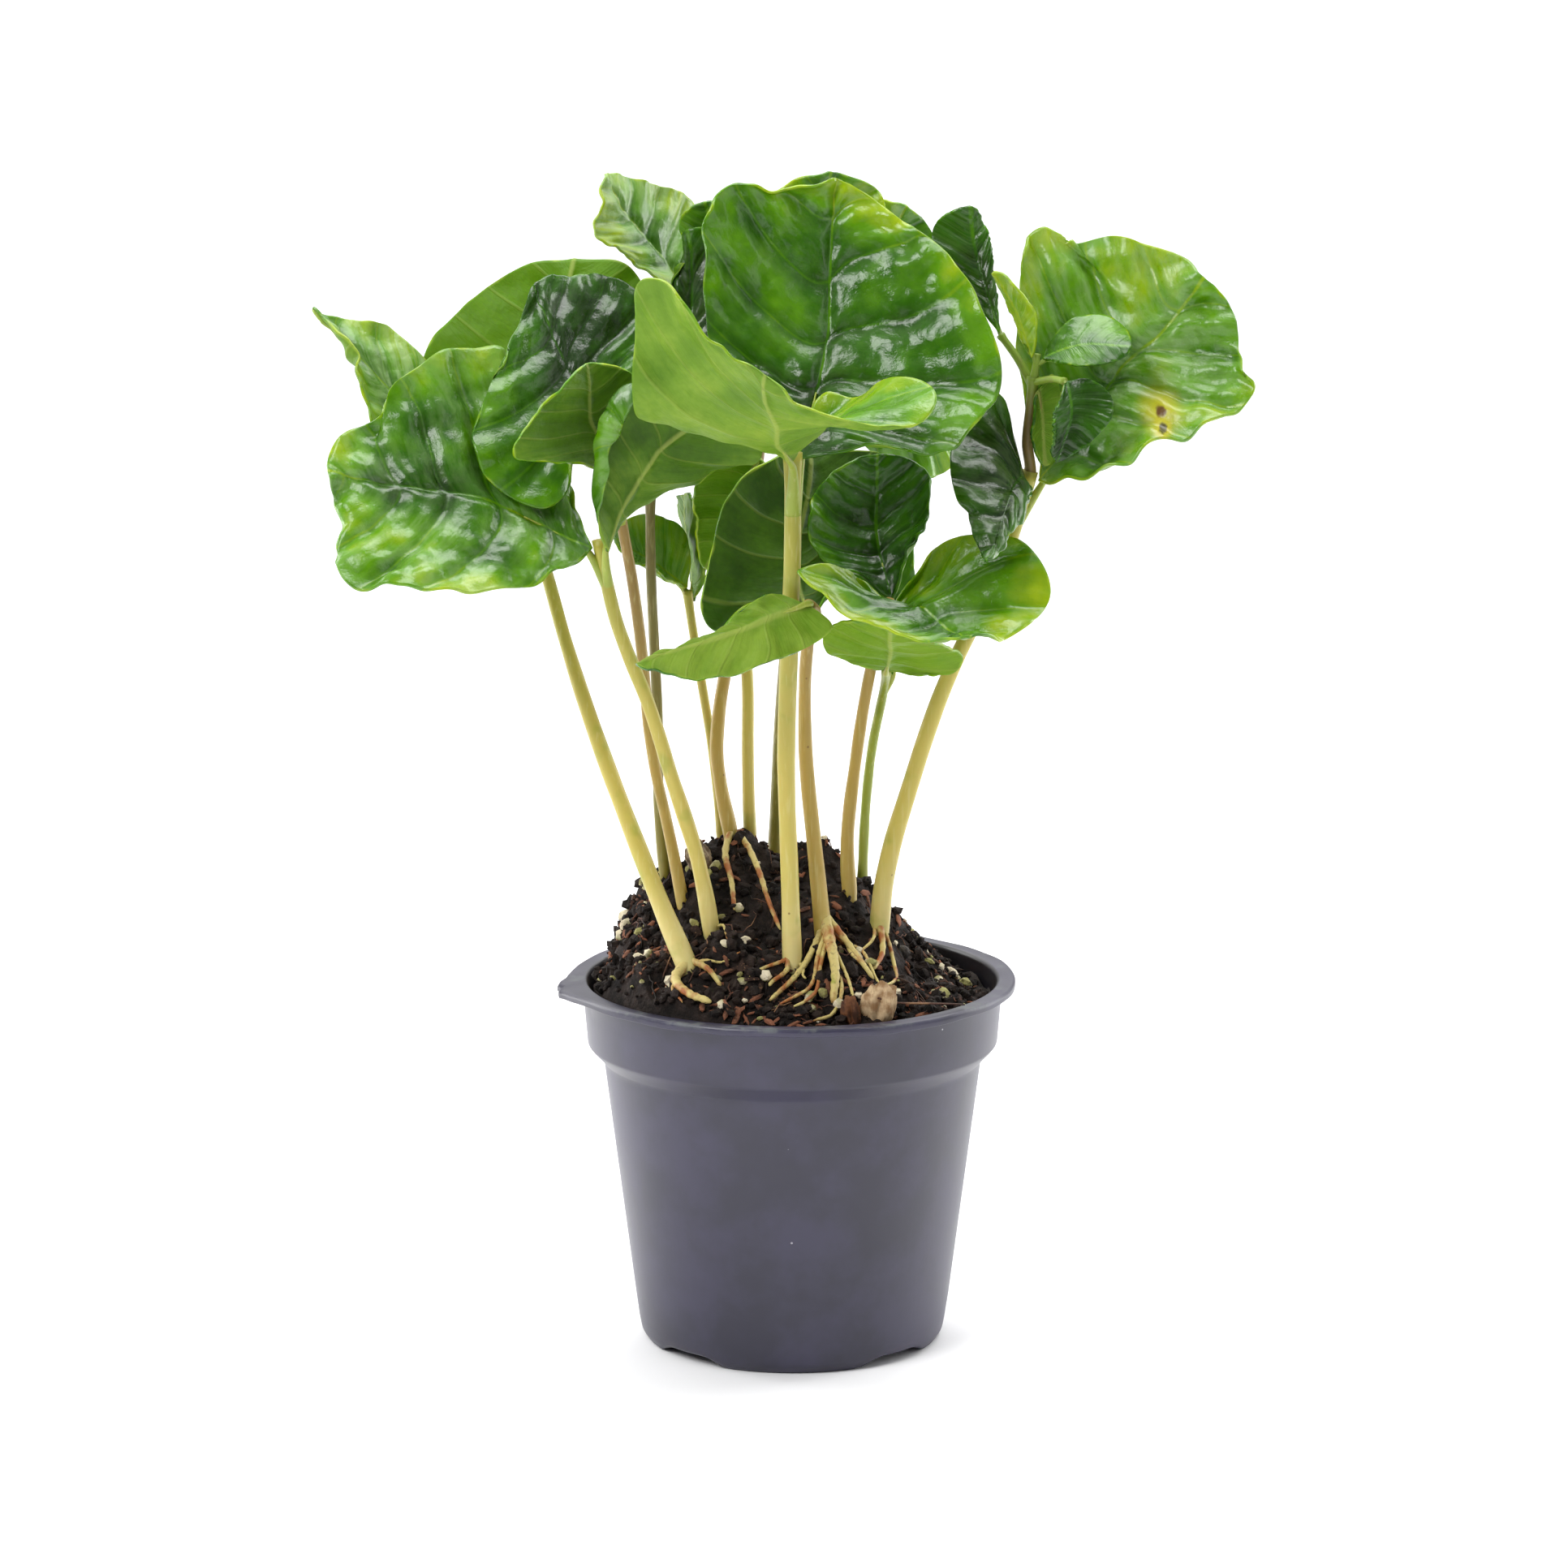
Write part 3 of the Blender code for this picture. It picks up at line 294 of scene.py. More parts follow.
clearSelection()
bpy.ops.mesh.primitive_plane_add(size=14, location=(0, 0, 0))
floor = bpy.context.object
floor.name = "studioFloor"
# matt paper sheet: keeps the ground pale and almost free of gloss
paper = Look("mattPaper", 0.9)
mottle = paper.add("TexNoise", {"Vector": paper.place, "Scale": 1 / (25 * mm), "Detail": 2.0})
paper.join("Base Color", paper.add("Mix", {0: mottle, 6: 0xF2F2F3, 7: 0xF5F5F5}, 2, **colours))
coat(floor, paper)
print("camera, lamps and floor placed")


# Pot

pot = {
    "sides": 144,
    "inside": [(22.4, 2.6), (23.4, 4.4), (28.8, 45.2), (31.3, 48.2), (32.0, 57.5), (32.4, 58.0)],
    "outside": [(34.7, 58.0), (35.0, 57.6), (35.0, 56.8), (34.7, 56.7), (32.9, 56.5), (32.2, 48.0),
                (31.8, 47.5), (29.8, 45.4), (29.6, 44.7), (24.3, 3.5), (23.9, 1.4), (23.2, 0.3), (22.8, 0.0),
                (19.2, 0.0), (18.5, 0.0)],
    "cornerRadius": 0.45,
    "footRadius": 22.8,
    "wallTop": 32.6,
    "notchHeight": 1.3,
    "notchHalfWidth": 8.2,
    "drainRadius": 1.8,
    "drainPlace": 20.2,
    "tearAngle": 186.0,
    "tearSpread": 11.0,
    "tearReach": 1.9,
    "tearDrop": 0.7,
}


def roundCorners(points, radius, steps=3):
    # swaps each inner corner of an open profile for a short arc
    result = [points[0]]
    for before, corner, after in zip(points, points[1:], points[2:]):
        before, corner, after = (np.array(p, float) for p in (before, corner, after))
        reach = min(radius, 0.4 * np.linalg.norm(before - corner), 0.4 * np.linalg.norm(after - corner))
        start = corner + unit(before - corner) * reach
        end = corner + unit(after - corner) * reach
        for step in range(steps + 1):
            t = step / steps
            result.append(tuple((1 - t) ** 2 * start + 2 * t * (1 - t) * corner + t * t * end))
    return result + [points[-1]]


def splitLong(points, longest):
    result = [points[0]]
    for before, after in zip(points, points[1:]):
        parts = max(1, math.ceil(math.dist(before, after) / longest))
        for part in range(1, parts + 1):
            result.append(tuple(b + (a - b) * part / parts for b, a in zip(before, after)))
    return result


profile = splitLong(roundCorners(pot["inside"] + pot["outside"], pot["cornerRadius"]), 3.0)
clearSelection()
bpy.ops.mesh.primitive_circle_add(vertices=pot["sides"], radius=profile[0][0] * mm, fill_type="NGON",
                                  location=(0, 0, profile[0][1] * mm))
nurseryPot = bpy.context.object
nurseryPot.name = "nurseryPot"
settle(nurseryPot)
bpy.ops.object.mode_set(mode="EDIT")
bpy.ops.mesh.select_all(action="SELECT")
for (radiusLow, heightLow), (radiusNext, heightNext) in zip(profile, profile[1:]):
    rise = (heightNext - heightLow) * mm
    bpy.ops.mesh.extrude_region_move(TRANSFORM_OT_translate={"value": (0, 0, rise)})
    grow = radiusNext / radiusLow
    bpy.ops.transform.resize(value=(grow, grow, 1), center_override=(0, 0, heightNext * mm))
bpy.ops.mesh.select_all(action="SELECT")
bpy.ops.mesh.normals_make_consistent(inside=False)
bpy.ops.object.mode_set(mode="OBJECT")

places = meshPoints(nurseryPot)
radius = np.hypot(places[:, 0], places[:, 1])
angle = np.arctan2(places[:, 1], places[:, 0])
# four low arches between the feet
quarter = angle % (math.pi / 2) - math.pi / 4
chord = np.abs(np.sin(quarter)) * pot["footRadius"]
arch = np.clip((pot["notchHalfWidth"] - chord) / 5.0, 0, 1)
arch = arch * arch * (3 - 2 * arch) * pot["notchHeight"] * mm
low = (places[:, 2] < 2.5 * mm) & (radius > 18.8 * mm)
places[low, 2] = np.maximum(places[low, 2], arch[low] + 0.35 * places[low, 2])
# the flange is torn and bent outward at the left, with small dents and wear all round
high = (radius > pot["wallTop"] * mm) & (places[:, 2] > 56.2 * mm)
away = np.degrees((angle - math.radians(pot["tearAngle"]) + math.pi) % (2 * math.pi) - math.pi)
share = np.exp(-(away / pot["tearSpread"]) ** 2) * (radius - pot["wallTop"] * mm) / (2.4 * mm)
teeth = 0.4 * np.sin(away * 1.7) + 0.3 * np.sin(away * 3.1 + 1)
jag = np.where(np.abs(away) < 18, teeth * np.exp(-(away / 10) ** 2), 0)
stretch = np.where(high, share * (pot["tearReach"] + jag) * mm / np.maximum(radius, 1e-6), 0)
places[:, :2] *= (1 + stretch)[:, None]
places[:, 2] -= np.where(high, share * pot["tearDrop"] * mm, 0)
wobble = (0.12 * np.sin(3 * angle + 1) + 0.08 * np.sin(7 * angle) + 0.05 * np.sin(19 * angle + 2)) * mm
places[:, 2] += np.where(high, wobble * (radius - 32.0 * mm) / (3 * mm), 0)
dents = 0.10 * np.sin(2 * angle + 0.6) + 0.05 * np.sin(5 * angle + 2.1)
places[:, :2] *= (1 + np.where(places[:, 2] > 5 * mm, dents * mm / np.maximum(radius, 0.02), 0))[:, None]
movePoints(nurseryPot, places)

for corner in range(4):
    turn = math.radians(45 + 90 * corner)
    clearSelection()
    spot = (pot["drainPlace"] * mm * math.cos(turn), pot["drainPlace"] * mm * math.sin(turn), 1.8 * mm)
    bpy.ops.mesh.primitive_cylinder_add(vertices=24, radius=pot["drainRadius"] * mm, depth=6 * mm,
                                        location=spot)
    drill = bpy.context.object
    cutAway = nurseryPot.modifiers.new("drainHole", "BOOLEAN")
    cutAway.operation = "DIFFERENCE"
    cutAway.object = drill
    applyAll(nurseryPot)
    bpy.data.objects.remove(drill)
takeUp(nurseryPot)
bpy.ops.object.shade_smooth_by_angle(angle=math.radians(38))

# moulded black polypropylene: nearly black, its soft even sheen mirrors the tent as slate violet
plastic = Look("mouldedPolypropylene", 0.4, IOR=1.49, Specular_IOR_Level=0.6)
add, place = plastic.add, plastic.place
cloud = add("TexNoise", {"Vector": place, "Scale": 1 / (14 * mm), "Detail": 4.0, "Roughness": 0.6})
cloudShare = add("MapRange", {0: cloud, 1: 0.35, 2: 0.7}, **smooth)
base = add("Mix", {0: cloudShare, 6: 0x272536, 7: 0x343147}, 2, **colours)
# grey-green limescale and wear along the flange
height = add("SeparateXYZ", {0: place}, "Z")
onFlange = add("MapRange", {0: height, 1: 57.2 * mm, 2: 57.9 * mm}, **smooth)
wear = add("TexNoise", {"Vector": place, "Scale": 1 / (4 * mm), "Detail": 5.0, "Roughness": 0.65})
wear = add("MapRange", {0: wear, 1: 0.5, 2: 0.68}, **smooth)
wear = add("Math", {0: wear, 1: onFlange}, **times)
base = add("Mix", {0: add("Math", {0: wear, 1: 0.5}, **times), 6: base, 7: 0x6E7572}, 2, **colours)
# painted shade on the inner wall: what lies inside the middle of the sloping wall, above about 48 mm, goes near
# black
flatPlace = add("VectorMath", {0: place, 1: (1, 1, 0)}, **times)
fromAxis = add("VectorMath", {0: flatPlace}, "Value", operation="LENGTH")
upright = add("Math", {0: height, 1: -0.078, 2: fromAxis}, **timesPlus)
shadedInside = add("MapRange", {0: upright, 1: 28.15 * mm, 2: 27.9 * mm}, **smooth)
upper = add("MapRange", {0: height, 1: 47 * mm, 2: 49 * mm, 4: 0.8}, **smooth)
base = add("Mix", {0: add("Math", {0: shadedInside, 1: upper}, **times), 6: base, 7: 0x14110F}, 2, **colours)
# dust: specks about 0.3 mm wide, one in a few 5 mm cells
dust = plastic.specks(4.8 * mm, 0.045, 0.025, 0.72, 0.76, 0.7)
plastic.join("Base Color", add("Mix", {0: dust, 6: base, 7: 0xB5B3BA}, 2, **colours))
dull = add("Math", {0: cloud, 1: 0.16, 2: 0.3}, **timesPlus)
plastic.join("Roughness", add("Math", {0: wear, 1: 0.2, 2: dull}, **timesPlus))
fine = add("TexNoise", {"Vector": place, "Scale": 1 / (0.45 * mm), "Detail": 2.0})
coarse = add("TexNoise", {"Vector": place, "Scale": 1 / (3 * mm), "Detail": 3.0})
dimples = add("Math", {0: fine, 1: 0.3, 2: coarse}, **timesPlus)
plastic.join("Normal", add("Bump", {"Strength": 0.25, "Distance": 0.06 * mm, "Height": dimples}))
coat(nurseryPot, plastic)
finishPiece(nurseryPot, "pot", "pot")
print("pot turned and torn:", len(nurseryPot.data.polygons), "faces")


# Soil

soilForm = {
    "level": 55.4,
    "mound": 24.0,
    "moundY": 4.0,
    "edge": 31.3,
    "moundX": (-31, -26, -24, -15, -9, -3, 3, 9, 12, 17, 20, 26, 31),
    "moundShare": (0.0, 0.45, 0.62, 0.97, 1.0, 0.92, 0.95, 0.8, 0.72, 0.42, 0.2, 0.0, 0.0),
    "lump": 0.55,
    "seed": 11,
    "cells": 190,
    "skirt": [(31.0, 52.0), (30.8, 48.4), (28.4, 45.0), (22.9, 4.8), (21.8, 2.9)],
}


def soilWaves():
    dice = random.Random(soilForm["seed"])
    waves = []
    for _ in range(6):
        waves.append((dice.uniform(0, math.pi), dice.uniform(7, 16), dice.uniform(0, 2 * math.pi)))
    return waves


lumpWaves = soilWaves()


def soilHeight(x, y):
    share = np.interp(x, soilForm["moundX"], soilForm["moundShare"])
    edge = soilForm["edge"]
    top = soilForm["moundY"]
    front = np.clip((y + edge) / (edge + top), 0, 1)
    back = np.clip((edge - y) / (edge - top), 0, 1) ** 0.8
    slope = np.minimum(front, back)
    lumps = 0.0
    for turn, length, start in lumpWaves:
        lumps = lumps + np.sin((x * math.cos(turn) + y * math.sin(turn)) * 2 * math.pi / length + start)
    return soilForm["level"] + soilForm["mound"] * share * slope + soilForm["lump"] * lumps


def soilTop(x, y):
    # the CAD mound, held under the rim at its edge, as part of the source does
    height = soilHeight(x, y)
    rim = np.clip(np.hypot(x, y) / soilForm["edge"], 0, 1)
    return np.minimum(height, 56.8 + (1 - rim) * 90)


def crumbRelief(x, y, z):
    # loose peat: coarse lumps of 4 mm, crumbs of 1.5 mm and grit
    value = noise.fractal(Vector((x, y, z)) / 4.5, 0.9, 2.1, 5, noise_basis="PERLIN_ORIGINAL")
    cells = noise.voronoi(Vector((x, y, z)) / 1.9)[0]
    return 1.1 * value + 0.9 * (0.5 - cells[0])


clearSelection()
bpy.ops.mesh.primitive_grid_add(x_subdivisions=soilForm["cells"], y_subdivisions=soilForm["cells"], size=2)
soilPiece = bpy.context.object
soilPiece.name = "pottingSoil"
places = meshPoints(soilPiece)
discX = places[:, 0] * np.sqrt(1 - places[:, 1] ** 2 / 2) * (soilForm["edge"] - 0.05)
discY = places[:, 1] * np.sqrt(1 - places[:, 0] ** 2 / 2) * (soilForm["edge"] - 0.05)
discZ = soilTop(discX, discY)
raised = np.array([crumbRelief(x, y, z) for x, y, z in zip(discX, discY, discZ)])
quiet = np.clip((soilForm["edge"] - np.hypot(discX, discY)) / 1.5, 0.25, 1)
movePoints(soilPiece, np.stack([discX, discY, discZ + raised * quiet], axis=1) * mm)
takeUp(soilPiece)
bpy.ops.object.mode_set(mode="EDIT")
bpy.ops.mesh.select_all(action="DESELECT")
bpy.ops.mesh.select_mode(type="EDGE")
bpy.ops.mesh.select_non_manifold()
ring = soilForm["edge"]
for nextRing, level in soilForm["skirt"]:
    bpy.ops.mesh.extrude_region_move(TRANSFORM_OT_translate={"value": (0, 0, -1 * mm)})
    grow = nextRing / ring
    bpy.ops.transform.resize(value=(grow, grow, 0), center_override=(0, 0, level * mm))
    ring = nextRing
bpy.ops.mesh.edge_face_add()
bpy.ops.mesh.select_all(action="SELECT")
bpy.ops.mesh.normals_make_consistent(inside=False)
bpy.ops.object.mode_set(mode="OBJECT")
bpy.ops.object.shade_smooth_by_angle(angle=math.radians(50))

# damp peat and compost: nearly black, matt, with brown fibres showing through
peat = Look("dampPeat", 0.92, Specular_IOR_Level=0.25)
add, place = peat.add, peat.place
coarse = add("TexNoise", {"Vector": place, "Scale": 1 / (3.5 * mm), "Detail": 6.0, "Roughness": 0.7})
fine = add("TexNoise", {"Vector": place, "Scale": 1 / (0.7 * mm), "Detail": 4.0, "Roughness": 0.7})
share = add("MapRange", {0: coarse, 1: 0.36, 2: 0.66}, **smooth)
base = add("Mix", {0: share, 6: 0x100C0A, 7: 0x2A1E18}, 2, **colours)
share = add("MapRange", {0: fine, 1: 0.6, 2: 0.76, 4: 0.6}, **smooth)
peat.join("Base Color", add("Mix", {0: share, 6: base, 7: 0x4A3628}, 2, **colours))
peat.join("Roughness", add("MapRange", {0: coarse, 1: 0.3, 2: 0.7, 3: 0.98, 4: 0.7}, **smooth))
peat.join("Normal", add("Bump", {"Strength": 0.9, "Distance": 0.5 * mm, "Height": fine}))
coat(soilPiece, peat)
finishPiece(soilPiece, "soil", "soil")
print("soil heaped:", len(soilPiece.data.polygons), "faces")


def modelGrain(name, level, roughness, seed):
    # one rough grain: an icosphere with its points pushed in and out
    clearSelection()
    bpy.ops.mesh.primitive_ico_sphere_add(subdivisions=level, radius=1)
    grain = bpy.context.object
    grain.name = name
    dice = random.Random(seed)
    for vertex in grain.data.vertices:
        vertex.co *= 1 + dice.uniform(-roughness, roughness)
    return grain


def scatter(name, models, spots, look, slot):
    # copies of the models, each turned and sized for its spot, as one mesh
    allPlaces = []
    allFaces = []
    start = 0
    for number, (place, turn, size) in enumerate(spots):
        model = models[number % len(models)]
        points = meshPoints(model) * np.array(size)
        points = points @ np.array(turn.to_matrix()).T + np.array(place)
        allPlaces.append(points * mm)
        allFaces += [[start + v for v in face.vertices] for face in model.data.polygons]
        start += len(points)
    mesh = bpy.data.meshes.new(name)
    mesh.from_pydata(np.concatenate(allPlaces).tolist(), [], allFaces)
    piece = bpy.data.objects.new(name, mesh)
    bpy.context.scene.collection.objects.link(piece)
    coat(piece, look)
    finishPiece(piece, slot)
    for model in models:
        bpy.data.objects.remove(model)
    return piece


def surfaceAt(x, y):
    # height and outward normal of the soil where something lies on it
    height = float(soilTop(np.array(x), np.array(y)))
    slopeX = float(soilTop(np.array(x + 0.6), np.array(y)) - soilTop(np.array(x - 0.6), np.array(y))) / 1.2
    slopeY = float(soilTop(np.array(x), np.array(y + 0.6)) - soilTop(np.array(x), np.array(y - 0.6))) / 1.2
    normal = Vector((-slopeX, -slopeY, 1)).normalized()
    relief = crumbRelief(x, y, height) * min(1, max(0.25, (soilForm["edge"] - math.hypot(x, y)) / 1.5))
    return height + relief, normal


def randomSpot(dice, reach=30.0, outerShare=0.5):
    if dice.random() < outerShare:
        radius = math.sqrt(dice.uniform(20 ** 2, reach ** 2))
    else:
        radius = reach * math.sqrt(dice.random())
    turn = dice.uniform(0, 2 * math.pi)
    return radius * math.cos(turn), radius * math.sin(turn)


# size: least, most and the power that makes large ones rare; lift: share of the size that its middle stands
# over the soil; side and top: the other two half widths as shares of the size
litter = {
    "soilCrumbs": {"count": 2300, "seed": 3, "size": (0.3, 1.25, 2), "reach": 30.6, "outer": 0.3,
                   "lift": 0.35, "side": (0.6, 1), "top": (0.5, 0.9), "lies": False,
                   "models": 6, "firstSeed": 0, "level": 1, "rough": 0.25},
    "perliteGrains": {"count": 170, "seed": 5, "size": (0.3, 1.2, 1.6), "reach": 30.2, "outer": 0.62,
                      "lift": 0.5, "side": (0.6, 0.95), "top": (0.5, 0.85), "lies": False,
                      "models": 4, "firstSeed": 20, "level": 2, "rough": 0.16},
    "barkChips": {"count": 700, "seed": 8, "size": (0.5, 1.7, 1.5), "reach": 30.0, "outer": 0.5,
                  "lift": 0.25, "side": (0.2, 0.5), "top": (0.12, 0.25), "lies": True,
                  "models": 4, "firstSeed": 40, "level": 1, "rough": 0.22},
}


def strew(name, look):
    kind = litter[name]
    dice = random.Random(kind["seed"])
    least, most, power = kind["size"]
    spots = []
    for _ in range(kind["count"]):
        x, y = randomSpot(dice, kind["reach"], kind["outer"])
        size = least + (most - least) * dice.random() ** power
        height, normal = surfaceAt(x, y)
        place = Vector((x, y, height)) + normal * size * kind["lift"]
        spin = dice.uniform(0, 6.28)
        if kind["lies"]:
            # flat on the soil, a little tipped
            turn = normal.to_track_quat("Z", "X") @ Matrix.Rotation(spin, 4, "Z").to_quaternion()
            turn = turn @ Matrix.Rotation(dice.gauss(0, 0.35), 4, "X").to_quaternion()
        else:
            axis = Vector((dice.gauss(0, 1), dice.gauss(0, 1), dice.gauss(0, 1)))
            turn = Matrix.Rotation(spin, 4, axis).to_quaternion()
        sizes = (size, size * dice.uniform(*kind["side"]), size * dice.uniform(*kind["top"]))
        spots.append((place, turn, sizes))
    models = [modelGrain(name + str(n), kind["level"], kind["rough"], kind["firstSeed"] + n)
              for n in range(kind["models"])]
    scatter(name, models, spots, look, "soil")


def grainLook(name, fleck, detail, low, high, dark, light, grit, stain, strength, depth):
    # two colours in patches, flecked with a third: fleck is how wide a patch is, grit how wide a fleck
    look = Look(name, 0.85, Specular_IOR_Level=0.3)
    add, place = look.add, look.place
    patch = add("TexNoise", {"Vector": place, "Scale": 1 / (fleck * mm), "Detail": detail})
    patch = add("MapRange", {0: patch, 1: low, 2: high}, **smooth)
    base = add("Mix", {0: patch, 6: dark, 7: light}, 2, **colours)
    fine = add("TexNoise", {"Vector": place, "Scale": 1 / (grit * mm), "Detail": 3.0})
    start, end, most, colour = stain
    share = add("MapRange", {0: fine, 1: start, 2: end, 4: most}, **smooth)
    look.join("Base Color", add("Mix", {0: share, 6: base, 7: colour}, 2, **colours))
    look.join("Normal", add("Bump", {"Strength": strength, "Distance": depth * mm, "Height": fine}))
    return look


# expanded perlite: bright chalky grains, some stained cream or yellow-green by the compost
perlite = grainLook("expandedPerlite", 5, 1.0, 0.42, 0.6, 0xD9CDB2, 0x8E8A55,
                    0.35, (0.56, 0.72, 0.7, 0x6E5A40), 0.8, 0.15)
# composted bark: flat rust-brown flakes and straws
bark = grainLook("compostedBark", 6, 2.0, 0.36, 0.6, 0x2A1A12, 0x80503A,
                 0.3, (0.55, 0.75, 0.5, 0xA07A58), 0.6, 0.1)

strew("soilCrumbs", peat)
strew("perliteGrains", perlite)
strew("barkChips", bark)
print("crumbs, perlite and bark strewn")


# Stems and roots

stemForm = {"rings": 11, "depth": 7.0, "seatGap": 0.3, "sides": 20, "detail": 5, "rootLift": 0.75,
            "usualSlim": 0.93, "slim": {"01": 0.86, "08": 0.82}}
stems = {
    "01": ([(-16, -18, 64.5), (-20, -16, 72.5), (-26, -13, 87.5), (-30.5, -11, 99.5), (-35, -8, 113),
            (-38, -5, 123.5), (-42, -2, 136.5)], 2.1, 1.0, "stemYellow"),
    "02": ([(-12.5, -12, 69), (-14.5, -13, 79.5), (-18.5, -14, 92.5), (-22, -15, 104.5), (-26.5, -16, 116),
            (-28.5, -17, 124.5), (-29.5, -17, 130.5)], 1.45, 1.05, "stemYellow"),
    "03": ([(-16.5, -5, 67.5), (-19, -5, 81.5), (-22, -6, 96), (-23, -8, 109.5), (-24.5, -10, 122.5),
            (-26, -12, 131.5), (-27.5, -13, 140.5), (-29.2, -10.6, 148)], 1.0, 0.9, "stemTan"),
    "04": ([(-20, 4, 73.5), (-21, 4, 83.5), (-21, 3, 97), (-21.5, 2, 110), (-22, 1, 123),
            (-22, 0, 135.5)], 0.9, 0.85, "stemOlive"),
    "05": ([(-11, 10, 77.5), (-12.5, 11, 91.5), (-14.5, 12, 104), (-16, 12, 113.5),
            (-16.5, 12, 117.5)], 0.85, 0.75, "stemYellow"),
    "06": ([(-9.5, 4, 79.5), (-11.5, 4, 89), (-12, 4, 96.5), (-10.5, 6, 105), (-9, 8, 116.5),
            (-7, 9, 128), (-5, 11, 141), (-4, 14, 148.5)], 1.2, 1.0, "stemTan"),
    "07": ([(-6.5, 8, 78), (-7, 8, 88), (-7, 8, 96), (-7, 9, 105), (-8, 12, 116), (-9, 14, 128.5),
            (-11, 15, 144), (-13.5, 15, 162.5)], 1.1, 0.9, "stemYellow"),
    "08": ([(0, -17, 65.5), (-0.5, -18, 80.5), (-1, -19, 96), (-0.5, -21, 114.5), (0, -23, 129.5),
            (0, -24, 145)], 1.75, 1.6, "stemYellow"),
    "09": ([(5, -13, 70.5), (3.5, -13, 81), (2, -13, 96.5), (2, -14, 111), (2.6, -16, 116.5),
            (3.7, -19.5, 119.8), (3.5, -22.8, 121.2), (2.4, -25.6, 121.9)], 1.6, 0.9, "stemTan"),
    "10": ([(9, -3, 73), (8.5, -3, 80), (9.5, -3, 90.5), (11.5, -3, 104.5), (13.5, -5, 114),
            (15, -9, 119.5)], 1.3, 0.85, "stemTan"),
    "11": ([(11, 8, 71.5), (11.5, 7, 83), (12.5, 4, 94), (14, 0, 102.5), (14.5, -4, 106.5),
            (14.5, -8, 108.5)], 0.9, 0.75, "stemGreen"),
    "12": ([(13.5, -7, 68), (14.5, -7, 77), (17.5, -7, 87.5), (21, -7, 99), (24.5, -7, 108.5),
            (31, -7, 122), (34.5, -7, 131.5), (36.5, -7, 139.5)], 1.75, 1.15, "stemYellow"),
    "13": ([(-3, 14, 74.5), (-2.5, 16, 82.5), (-1.5, 19, 100), (0.5, 22, 119.5), (4.5, 26, 137),
            (7.5, 29, 148)], 1.2, 1.0, "stemOlive"),
}
# bare roots: the stem they leave, how far up it they start, then points over the soil, and the radius
roots = (
    ("01", 1.5, [(-18, -21), (-16, -25), (-12.5, -27.5)], 0.9),
    ("01", 1.5, [(-13, -20), (-11, -22)], 0.6),
    ("06", 1.5, [(-10.5, 0), (-9.5, -5), (-9, -10)], 0.6),
    ("08", 1.5, [(-1.5, -20), (-3.5, -22.5)], 0.5),
    ("09", 4.5, [(6.0, -17), (6.6, -21), (6.2, -25)], 1.0),
    ("09", 3.5, [(2.5, -17.5), (0.6, -20), (-1.4, -22.5), (-3.5, -25)], 0.6),
    ("09", 5.0, [(9, -14.5), (12.5, -19)], 0.6),
    ("12", 2.5, [(14, -11.5), (12.5, -16)], 0.6),
)
# thin rootlets that only the looks have, the same way
rootlets = (
    ("06", 1.0, [(-7.5, 1), (-4.8, -4), (-3.2, -8), (-1.8, -11.5)], 0.55),
    ("08", 1.2, [(-2.2, -18.5), (-5.0, -21.0), (-7.0, -21.8)], 0.34),
    ("08", 1.0, [(1.6, -19.0), (2.2, -21.0)], 0.3),
    ("09", 3.0, [(4.0, -19.0), (2.4, -22.8), (0.2, -25.4), (-1.6, -26.6)], 0.42),
    ("09", 2.6, [(4.4, -19.4), (4.0, -23.2), (1.6, -26.2), (0.2, -27.4)], 0.42),
    ("09", 4.0, [(6.8, -16.5), (8.2, -20.5), (9.0, -24.5), (9.4, -27.4)], 0.36),
    ("09", 2.2, [(7.2, -22.0), (6.4, -26.6), (3.4, -28.6)], 0.46),
    ("09", 5.5, [(7.4, -12.6), (10.4, -14.0), (12.6, -17.6), (13.8, -20.8)], 0.34),
    ("09", 4.6, [(8.2, -13.6), (9.6, -15.6), (11.8, -16.4)], 0.4),
    ("12", 1.6, [(15.6, -9.5), (16.4, -13.0), (15.4, -17.2), (13.6, -20.8)], 0.38),
    ("12", 1.2, [(12.6, -10.0), (11.0, -13.6), (9.4, -16.0)], 0.3),
    ("01", 2.2, [(-17.4, -20.4), (-18.4, -23.6), (-17.0, -26.0)], 0.3),
    ("01", 1.0, [(-13.4, -18.6), (-10.4, -18.8), (-8.2, -17.4)], 0.26),
    ("02", 1.0, [(-10.4, -14.0), (-9.4, -17.0)], 0.26),
    ("13", 1.0, [(-2, 17), (0.5, 20.5), (1.5, 24)], 0.5),
    ("04", 1.0, [(-22.5, 6.5), (-24.0, 9.5)], 0.4),
    ("11", 1.0, [(13.5, 10.5), (15.5, 14.0), (15.0, 17.5)], 0.45),
)


def stemPoints(points):
    foot = points[0]
    ground = float(soilHeight(np.array(float(foot[0])), np.array(float(foot[1]))))
    start = min(ground, foot[2])
    buried = [(foot[0], foot[1], start - stemForm["depth"] / part) for part in (1, 2)]
    shown = pathThrough([(foot[0], foot[1], start)] + list(points[1:]), stemForm["rings"])
    return buried + [tuple(p) for p in shown]


